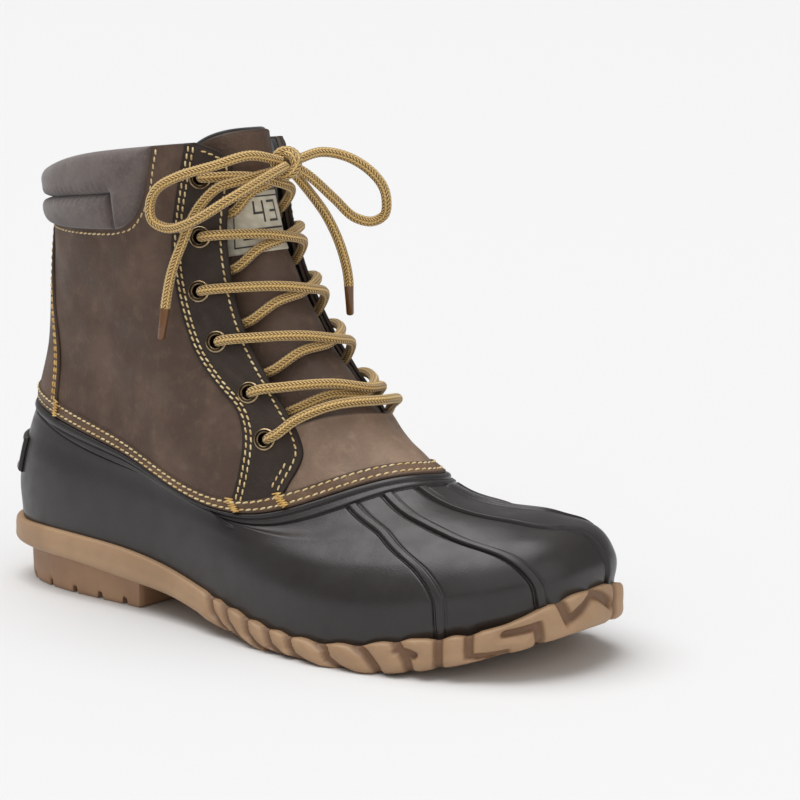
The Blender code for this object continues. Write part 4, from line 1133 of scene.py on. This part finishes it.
def make_heel_tab():
    """Moulded tab at the back: a low slab with rounded edges and a sunk field."""
    s = edge_shares(46, 58, 1.1)[None, :]
    r = edge_shares(18, 18, 1.1)[:, None]
    turn = (s * 2 - 1) * 0.07 + r * 0
    level = 1.32 + 1.25 * r + s * 0

    def field(left, right, low, high):
        inside = np.minimum.reduce([left, right, low, high])
        return -0.55 * smooth(2.2, 2.9, inside)

    tab = overlay("heel_tab_moulded", turn, level, -0.1, 2.0, SHELL, round_mm=1.1, relief=field)
    done(tab, "shell_rubber", "heel_tab")


make_outsole()
make_heel_block()
make_shell()
make_heel_tab()


# Leather

LEATHER_DEPTH = 1.0
LEATHER_INNER = -0.8
STAY_DEPTH = 2.35
THROAT_LEVEL = 5.05
THROAT_DROP = 0.12
# Millimetres that a turn and a level are, near enough for the folds, and at the collar
FOLD_SCALE = (260.0, 27.0)
PAD_SCALE = (330.0, 34.0)
# Soft folds, from one place to another on the lateral side, with how deep and how wide they are
Fold = namedtuple("Fold", "turn_a level_a turn_b level_b deep half both")
FOLDS = (
    Fold(0.30, 5.10, 0.20, 5.35, 0.9, 7.0, True),
    Fold(0.31, 5.65, 0.22, 5.95, 0.8, 8.0, True),
    Fold(0.15, 5.20, 0.24, 4.85, 0.6, 6.0, True),
    Fold(0.13, 6.30, 0.22, 6.45, 0.5, 8.0, True),
    Fold(0.31, 6.55, 0.25, 6.75, 0.6, 7.0, True),
    Fold(0.41, 4.70, 0.47, 4.86, 0.5, 4.0, True),
    Fold(0.39, 4.42, 0.45, 4.60, 0.4, 5.0, True),
    Fold(0.47, 4.35, 0.53, 4.42, -0.4, 6.0, False),
)


def folds(turn, level):
    """Soft troughs: each is a Gaussian about a short line on the surface, sunk by its depth."""
    rate, rise = FOLD_SCALE
    turn = turn % 1.0
    total = 0.25 * np.sin(turn * 61.0 + level * 2.3) * np.sin(level * 3.1 + turn * 19.0)
    for fold in FOLDS:
        for mirrored in ((False, True) if fold.both else (False,)):
            ta, tb = (float(mirrored_turn(end, mirrored)) for end in (fold.turn_a, fold.turn_b))
            px, py = (turn - ta) * rate, (level - fold.level_a) * rise
            away = from_line(px, py, (tb - ta) * rate, (fold.level_b - fold.level_a) * rise)
            total = total - fold.deep * np.exp(-(away / fold.half) ** 2)
    return total


# Turn where the quarter's front edge lies, under the eyestay below the throat
QUARTER_EDGE = ((4.0, 0.330), (4.4, 0.347), (4.7, 0.372), (4.9, 0.386))


def quarter_edge(level):
    """Turn of the quarter's front edge at a level."""
    return np.where(level < 4.9, curve(QUARTER_EDGE, level), stay_front(level) - 0.0015)


def make_quarters():
    """Both quarters as one leather, from one front edge round the back to the other."""
    s = edge_shares(270, 330, 0.9)[None, :] * 2 - 1
    r = edge_shares(70, 115, 0.9)[:, None]
    level = EDGE_LEVEL + (TOP_LEVEL - EDGE_LEVEL) * r + s * 0
    turn = s * quarter_edge(level)
    soft = folds(turn, level) * smooth(4.15, 4.5, level) * (1 - smooth(7.3, 7.8, level))
    quarters = overlay("quarter_leather_piece", turn, level, LEATHER_INNER, LEATHER_DEPTH, QUARTER,
                       relief=lambda *borders: soft)
    done(quarters, "quarter_leather", "leather_upper")
    return quarters


def make_vamp():
    """Vamp from stay to stay over the instep, up to the throat's arched base."""
    s = edge_shares(130, 120, 0.9)[None, :] * 2 - 1
    r = edge_shares(44, 45, 0.9)[:, None]
    top = THROAT_LEVEL - THROAT_DROP * s ** 2
    level = EDGE_LEVEL + (top - EDGE_LEVEL) * r
    turn = 0.5 + s * (0.5 - (quarter_edge(np.minimum(level, 4.88)) - 0.006))
    soft = folds(turn, level) * smooth(4.15, 4.4, level)
    # The vamp takes the lighter leather: painted light on its upward face.
    vamp = overlay("vamp_leather_piece", turn, level, LEATHER_INNER, LEATHER_DEPTH - 0.02, VAMP_PAINTED_LIGHT,
                   relief=lambda *borders: soft)
    done(vamp, "quarter_leather")
    return vamp


def make_eyestay(side, mirrored):
    """Eyestay: darker leather sewn over the throat's side, with grooves where its stitches run."""
    s = edge_shares(26, 20, 0.9)[None, :]
    r = edge_shares(150, 145, 0.9)[:, None]
    level = 4.12 + (8.0 - 4.12) * r + s * 0
    rear, front = curve(STAY_REAR, level), stay_front(level)
    turn = rear + (front - rear) * s
    if mirrored:
        turn = 1 - turn[:, ::-1]

    def pulled(left, right, low, high):
        rear_side, front_side = (right, left) if mirrored else (left, right)
        rows = channel(rear_side, 2.0) + channel(rear_side, 4.0) + channel(front_side, 2.7)
        return rows + channel(high, 2.6) + 0.12 * np.sin(rear_side * 0.9 + low * 0.21)

    stay = overlay("eyestay_leather_" + side, turn, level, LEATHER_DEPTH - 0.1, STAY_DEPTH, STAY,
                   relief=pulled)
    done(stay, "stay_leather", "eyestay_" + side)
    return stay


STRIP_TALL = 8.0
STRIP_DEPTH = 1.9


def strip_climb(turn):
    """How far the strip stands out where it passes over the eyestays and the back stay."""
    from_back = np.minimum(turn, 1 - turn)
    stay = smooth(0.308, 0.318, from_back) * (1 - smooth(0.362, 0.374, from_back))
    back = 1 - smooth(0.122, 0.132, from_back)
    return np.maximum(stay, back) * 1.1


def make_strip():
    """Strip along the leather's lower edge, all round; it climbs over what passes under it."""
    columns = 520
    turns = np.arange(columns) / columns
    r = edge_shares(10, STRIP_TALL, 0.8)[:, None]
    turn = turns[None, :] + r * 0
    level = off_edge(turn, STRIP_TALL * r)
    over = strip_climb(turn) * smooth(2.0, 6.0, r * STRIP_TALL)

    def pulled(left, right, low, high):
        return channel(low, 2.5) + channel(high, 1.5) + over

    strip = overlay("edge_strip_leather", turn, level, LEATHER_DEPTH - 0.1, STRIP_DEPTH, STRIP,
                    closed=True, relief=pulled)
    done(strip, "quarter_leather")


# Turn of the back stay's edge, by level
BACK_STAY = (
    (4.05, 0.128), (4.32, 0.126), (5.0, 0.123), (5.5, 0.118), (6.1, 0.106), (6.6, 0.090),
    (7.2, 0.072),
)


def make_back_stay():
    """Leather strip up the back of the heel, its sides double sewn."""
    s = edge_shares(44, 66, 0.9)[None, :] * 2 - 1
    r = edge_shares(80, 82, 0.9)[:, None]
    level = 4.10 + (7.2 - 4.10) * r + s * 0
    turn = s * curve(BACK_STAY, level)

    def pulled(left, right, low, high):
        rows = channel(left, 2.0) + channel(left, 4.0)
        return rows + channel(right, 2.0) + channel(right, 4.0)

    stay = overlay("back_stay_leather", turn, level, LEATHER_DEPTH - 0.1, STAY_DEPTH, QUARTER,
                   relief=pulled)
    done(stay, "stay_leather", "back_stay")


def make_seams():
    """All rows of stitches on the leather."""
    rows = []
    level = np.linspace(4.24, 7.99, 400)
    rear = curve(STAY_REAR, level)
    for _, mirrored in SIDES:
        sign = 1 if mirrored else -1
        turn = mirrored_turn(rear, mirrored)
        for inset in (2.0, 4.0):
            rows.append(shifted_line(turn, level, sign * inset, STAY_DEPTH - 0.1))
        side_level, corner_level = np.linspace(4.20, 7.70, 300), np.linspace(7.70, 7.975, 60)
        front_level = np.concatenate([side_level, corner_level[1:]])
        front = mirrored_turn(stay_front(front_level), mirrored)
        rows.append(shifted_line(front, front_level, -sign * 2.7, STAY_DEPTH - 0.1))
        short = front_level < 4.46
        rows.append(shifted_line(front[short], front_level[short], -sign * 5.2, STAY_DEPTH - 0.1))
    stay_rows = stitch_rods("stitches_eyestays", rows, THREAD)
    done(stay_rows, "lace_braid")
    turn = np.linspace(0, 1, 900)
    over = strip_climb(turn)
    rows = [seam_line(turn, off_edge(turn, 2.5), STRIP_DEPTH - 0.12 + over * 0.1),
            seam_line(turn, off_edge(turn, STRIP_TALL - 1.5), STRIP_DEPTH - 0.12 + over)]
    done(stitch_rods("stitches_strip", rows, THREAD, pitch=3.4), "lace_braid")
    level = np.linspace(4.30, 7.19, 260)
    rows = []
    for _, mirrored in SIDES:
        sign = 1 if mirrored else -1
        turn = mirrored_turn(curve(BACK_STAY, level), mirrored)
        for inset in (2.0, 4.0):
            rows.append(shifted_line(turn, level, -sign * inset, STAY_DEPTH - 0.1))
    done(stitch_rods("stitches_back_stay", rows, GOLD_THREAD), "lace_braid")


# Turns of the bar tacks where the seams end on the strip
TACK_TURNS = (0.316, 0.353, 0.127)


def make_tacks():
    """Bar tacks: short stitches stacked across a seam's end."""
    lines = []
    for middle in TACK_TURNS:
        for _, mirrored in SIDES:
            rate = float(per_turn(middle, EDGE_LEVEL))
            for number in range(12):
                lean = 0.35 * (-1) ** number
                across = np.linspace(-1.7, 1.7, 6) + 0.25 * (-1) ** number
                up = 1.0 + number * 0.68 + np.linspace(-lean, lean, 6)
                turn = mirrored_turn(middle, mirrored) + across / rate
                lines.append(seam_line(turn, off_edge(turn, up), STRIP_DEPTH + 0.8))
    tacks = stitch_rods("bar_tacks", lines, GOLD_THREAD, pitch=9.0, share=1.0, radius=0.34)
    done(tacks, "lace_braid")


# Collar

# Turn of the pad's front edge, by level
PAD_FRONT = (
    (7.17, 0.268), (7.19, 0.277), (7.23, 0.286), (7.33, 0.2986), (7.46, 0.3085), (7.66, 0.3166),
    (7.81, 0.3222), (8.00, 0.328),
)
# Level of the seam between the rolls, and the turn where the lower roll ends
ROLL_SEAM = 7.55
ROLL_END = 0.268
PAD_LOW, PAD_HIGH = 7.17, 8.0
PAD_RISE = 4.2
# Row of stitches beside the pad: turn and level, from the back to the top of its front
PAD_ROW = (
    (0.076, 7.115), (0.141, 7.115), (0.203, 7.115), (0.240, 7.115), (0.266, 7.125), (0.290, 7.18),
    (0.306, 7.32), (0.3164, 7.46), (0.3215, 7.60), (0.3275, 7.80), (0.3338, 7.97),
)


def pad_depth(turn, level):
    """Face of the collar pad: a pillow, sqrt(1 - (1 - d / R)^2) at a distance d from its border,
    pinched by the seam under the upper roll, which turns down at the lower roll's end."""
    around, tall = PAD_SCALE
    from_back = np.minimum(turn % 1.0, 1 - turn % 1.0)
    under = np.hypot(np.maximum(from_back - ROLL_END, 0) * around, (level - ROLL_SEAM) * tall)
    beside = np.hypot((from_back - ROLL_END) * around, np.maximum(level - ROLL_SEAM, 0) * tall)
    seam = np.minimum(under, beside)
    border = np.minimum(level - PAD_LOW, PAD_HIGH - level) * tall
    front = (curve(PAD_FRONT, level) - from_back) * around
    shares = [seam / 5.0, np.maximum(border, 0) / 7.5, np.maximum(front, 0) / 14.0]
    share = np.clip(np.minimum.reduce(shares), 0, 1)
    pillow = np.sqrt(1 - (1 - share) ** 2)
    pucker = 0.25 * np.sin(from_back * 620.0) * np.exp(-(seam / 2.5) ** 2)
    soft = 0.35 * np.sin(from_back * 47.0 + level * 4.0) * np.sin(level * 9.0 + from_back * 21.0)
    pinched = 1.9 - 0.9 * np.exp(-(seam / 1.1) ** 2)
    rise = PAD_RISE * (1 - 0.3 * smooth(0.28, 0.33, from_back))
    return pinched + (rise + pucker + soft) * pillow


def make_collar():
    """Padded nubuck collar round the back of the shaft."""
    s = edge_shares(420, 200, 1.2)[None, :] * 2 - 1
    r = edge_shares(76, 38, 1.2)[:, None]
    level = PAD_LOW + (PAD_HIGH - PAD_LOW) * r + s * 0
    turn = s * curve(PAD_FRONT, level)
    high = pad_depth(turn, level)
    pad = overlay("collar_pad_nubuck", turn, level, LEATHER_DEPTH - 0.3, high, COLLAR, round_mm=1.6)
    done(pad, "collar_nubuck", "collar_pad")
    seam_turn = np.linspace(-ROLL_END, ROLL_END, 400)
    rows = [seam_line(seam_turn, ROLL_SEAM, 1.15)]
    done(stitch_rods("stitches_collar_roll", rows, DARK_THREAD, pitch=2.6), "lace_braid")
    row = evenly(np.array(PAD_ROW) * PAD_SCALE, 1.0) / PAD_SCALE
    lines = [seam_line(mirrored_turn(row[:, 0], mirrored), row[:, 1], LEATHER_DEPTH - 0.05)
             for _, mirrored in SIDES]
    done(stitch_rods("stitches_collar_edge", lines, THREAD), "lace_braid")


# Tongue, lining and insole

TONGUE_RISE = -1.1
TONGUE_SINK = 5.65
TONGUE_SPREAD = 1.32


def throat_half(level):
    """Half the throat's width in turns, held constant above its widest place."""
    return 0.5 - np.where(level > 7.75, 0.437, stay_front(np.maximum(level, 4.8)))


def tongue_depth(share, level):
    """Face of the tongue: high in the middle, sunk under the eyestays at its sides, with the soft
    waves that the lace presses into it."""
    flat = np.clip((level - 4.8) / 0.3, 0.25, 1)
    sink = TONGUE_SINK * np.clip(np.abs(share), 0, TONGUE_SPREAD) ** 2
    wave = 0.35 * np.sin(level * 11.5 + 0.8) * (1 - np.abs(share) / TONGUE_SPREAD)
    return TONGUE_RISE - 0.4 * (1 - flat) - sink * flat + wave * flat


def make_tongue():
    """Tongue leather with its lining behind it, standing above the collar."""
    s = (edge_shares(60, 66, 1.2)[None, :] * 2 - 1) * TONGUE_SPREAD
    r = edge_shares(110, 150, 1.2)[:, None]
    layers = (
        ("tongue_leather_piece", TONGUE, 0.0, -1.7, 4.55, 8.10, 1.0, ("tongue",), "tongue_leather"),
        ("tongue_lining", LINING, -1.75, -3.9, 4.6, 8.13, 1.03, (), "tongue_leather"),
    )
    for name, finish, top, under, low_level, high_level, wide, nodes, slot in layers:
        corner = 0.13 * (np.abs(s) / TONGUE_SPREAD) ** 3
        level = low_level + (high_level - corner - low_level) * r
        turn = 0.5 + throat_half(level) * s * (wide + 0.42 * smooth(7.0, 7.9, level))
        depth = tongue_depth(s, level)
        sheet = overlay(name, turn, level, depth + under, depth + top, finish, round_mm=1.3)
        done(sheet, slot, *nodes)


LABEL_LOW, LABEL_HIGH = 6.84, 7.46
LABEL_LEFT, LABEL_RIGHT = -1.02, 0.72
# Bars of the frame, the two rules, the 4 and the 3: left, right, low and high
LABEL_BARS = (
    (-0.86, 0.86, 0.90, 0.925), (-0.86, 0.86, 0.10, 0.125), (-0.86, -0.835, 0.10, 0.925),
    (0.835, 0.86, 0.10, 0.925), (-0.65, 0.60, 0.36, 0.39), (-0.65, 0.35, 0.22, 0.25),
    (-0.35, -0.30, 0.66, 0.84), (-0.35, -0.05, 0.62, 0.66), (-0.10, -0.05, 0.48, 0.84),
    (0.07, 0.37, 0.80, 0.84), (0.32, 0.37, 0.52, 0.80), (0.12, 0.32, 0.64, 0.68),
    (0.07, 0.37, 0.48, 0.52),
)


def make_label():
    """Cream cloth label on the tongue with plain ruled lines and a plain number."""
    def across(share):
        return LABEL_LEFT + (LABEL_RIGHT - LABEL_LEFT) * (share + 1) / 2

    s = across(edge_shares(30, 30, 0.3)[None, :] * 2 - 1)
    r = edge_shares(24, 24, 0.3)[:, None]
    level = LABEL_LOW + (LABEL_HIGH - LABEL_LOW) * r + s * 0
    turn = 0.5 + throat_half(level) * s
    depth = tongue_depth(s, level)
    label = overlay("tongue_label_cloth", turn, level, depth - 0.1, depth + 0.55, LABEL,
                    round_mm=0.4)
    done(label, "label_cloth", "tongue_label")
    lines, faces = [], []
    for left, right, low, high in LABEL_BARS:
        a = across(np.linspace(left, right, 14)[None, :])
        b = np.array([low, high])[:, None]
        level = LABEL_LOW + (LABEL_HIGH - LABEL_LOW) * b + a * 0
        turn = 0.5 + throat_half(level) * a
        depth = tongue_depth(a, level)
        outer, inner = skin(turn, level, depth + 0.62), skin(turn, level, depth + 0.5)
        faces.append(slab_faces(2, 14) + len(np.concatenate(lines)) if lines else slab_faces(2, 14))
        lines.append(np.concatenate([outer.reshape(-1, 3), inner.reshape(-1, 3)]))
    done(piece("label_rules", np.concatenate(lines), np.concatenate(faces), PRINT), "label_cloth")


def make_lining():
    """Black lining inside the shaft, its top edge rolled over to the collar's."""
    s = edge_shares(200, 330, 1.2)[None, :] * 2 - 1
    r = edge_shares(70, 115, 1.2)[:, None]
    level = 4.05 + (7.98 - 4.05) * r + s * 0
    turn = s * (quarter_edge(level) - 0.012)
    lining = overlay("shaft_lining", turn, level, LEATHER_INNER - 2.1, LEATHER_INNER - 0.05, LINING,
                     round_mm=1.2)
    done(lining, "insole_felt")


def make_eyelets(side, mirrored):
    """Six turned rings: a rolled flange with a barrel, the profile carried round each axis."""
    profile = np.array([
        (4.75, 0.0), (4.78, 0.25), (4.6, 0.55), (4.2, 0.85), (3.75, 0.98), (3.3, 0.9), (2.95, 0.62),
        (2.72, 0.2), (2.66, -0.4), (2.66, -3.0), (2.95, -3.0), (2.98, -0.4), (3.3, -0.15),
    ])
    # Painted highlight along each flange's rolled rim, brightest on its outer shoulder.
    highlight_and_wear = np.array([0.2, 0.7, 1.0, 0.6, 0.25, 0.3, 0.7, 0.3, 0.0, 0.0, 0.0, 0.0, 0.0])
    around = 40
    points, faces, values = [], [], []
    for number, eyelet in enumerate(EYELETS):
        turn = mirrored_turn(eyelet.turn, mirrored)
        seat = skin(turn, eyelet.level, STAY_DEPTH - 0.15)
        axis = normal(turn, eyelet.level)
        ring = unit_ring(axis, around)
        rings = seat + profile[:, :1, None] * ring[None] + profile[:, 1:, None] * axis
        shape = grid(len(profile), around, closed=True, looped=True)[:, ::-1]
        faces.append(shape + number * len(profile) * around)
        points.append(rings.reshape(-1, 3))
        values.append(np.repeat(highlight_and_wear, around))
    rings = piece("eyelets_" + side, np.concatenate(points), np.concatenate(faces), BRASS,
                  values={"highlight_and_wear": np.concatenate(values)})
    done(rings, "eyelet_metal", *["eyelet_%s_%d" % (side, k) for k in range(1, 7)])


PIN_RADIUS = 3.1
PIN_REACH = 6.0


def make_pins():
    """One cutter with a pin at each eyelet."""
    points, faces = [], []
    around = 24
    for number, (eyelet, mirrored) in enumerate((e, m) for e in EYELETS for _, m in SIDES):
        turn = mirrored_turn(eyelet.turn, mirrored)
        seat, axis = surface(turn, eyelet.level), normal(turn, eyelet.level)
        ring = PIN_RADIUS * unit_ring(axis, around)
        base = number * 2 * around
        points += [seat + ring - axis * PIN_REACH, seat + ring + axis * PIN_REACH]
        faces += [[base + corner for corner in face] for face in tube_faces(2, around)]
    pins = piece("eyelet_pins", np.concatenate(points), faces, BRASS)
    shape = bmesh.new()
    shape.from_mesh(pins.data)
    bmesh.ops.recalc_face_normals(shape, faces=shape.faces)
    shape.to_mesh(pins.data)
    shape.free()
    return pins


def make_leather():
    """All leather pieces, with the eyelets' holes cut through them."""
    cut = [make_quarters(), make_vamp()]
    cut += [make_eyestay(side, mirrored) for side, mirrored in SIDES]
    pins = make_pins()
    for leather in cut:
        apply_boolean(leather, pins)
    bpy.data.objects.remove(pins, do_unlink=True)
    make_strip()
    make_back_stay()
    make_seams()
    make_tacks()
    make_collar()
    make_tongue()
    make_label()
    make_lining()
    for side, mirrored in SIDES:
        make_eyelets(side, mirrored)
    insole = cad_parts["insole"]
    insole.data.materials.clear()
    insole.data.materials.append(FELT)


make_leather()


# Stage and light

def make_stage():
    """A pale floor that fills the view."""
    size = 40.0
    corners = [(-size, -size, 0), (size, -size, 0), (size, size, 0), (-size, size, 0)]
    mesh = bpy.data.meshes.new("floor")
    mesh.from_pydata(corners, [], [(0, 1, 2, 3)])
    material, tree, shader, _ = principled("floor_paper", 0.9)
    shader.inputs["Base Color"].default_value = linear("#dedede")
    mesh.materials.append(material)
    floor = bpy.data.objects.new("floor", mesh)
    bpy.context.scene.collection.objects.link(floor)


def make_light():
    """An even pale room and soft lamps: the main one from above, weak ones from the camera's left
    and from the toe's side."""
    world = bpy.data.worlds.new("room")
    world.use_nodes = True
    world.node_tree.nodes["Background"].inputs["Color"].default_value = (1, 1, 1, 1)
    world.node_tree.nodes["Background"].inputs["Strength"].default_value = 0.3
    bpy.context.scene.world = world
    lamps = (
        ("overhead", 2.75, 60.0, (0.17, 0.12, -1.0)),
        ("front", 0.35, 50.0, (-0.5, 0.9, -0.75)),
        ("toe side", 0.45, 50.0, (-1.0, 0.1, -0.5)),
    )
    for name, power, spread, way in lamps:
        data = bpy.data.lights.new(name, "SUN")
        data.energy = power
        data.angle = math.radians(spread)
        lamp = bpy.data.objects.new(name, data)
        bpy.context.scene.collection.objects.link(lamp)
        lamp.rotation_euler = Vector(way).to_track_quat("-Z", "Y").to_euler()
    bpy.context.scene.view_settings.view_transform = "Standard"


make_stage()
make_light()
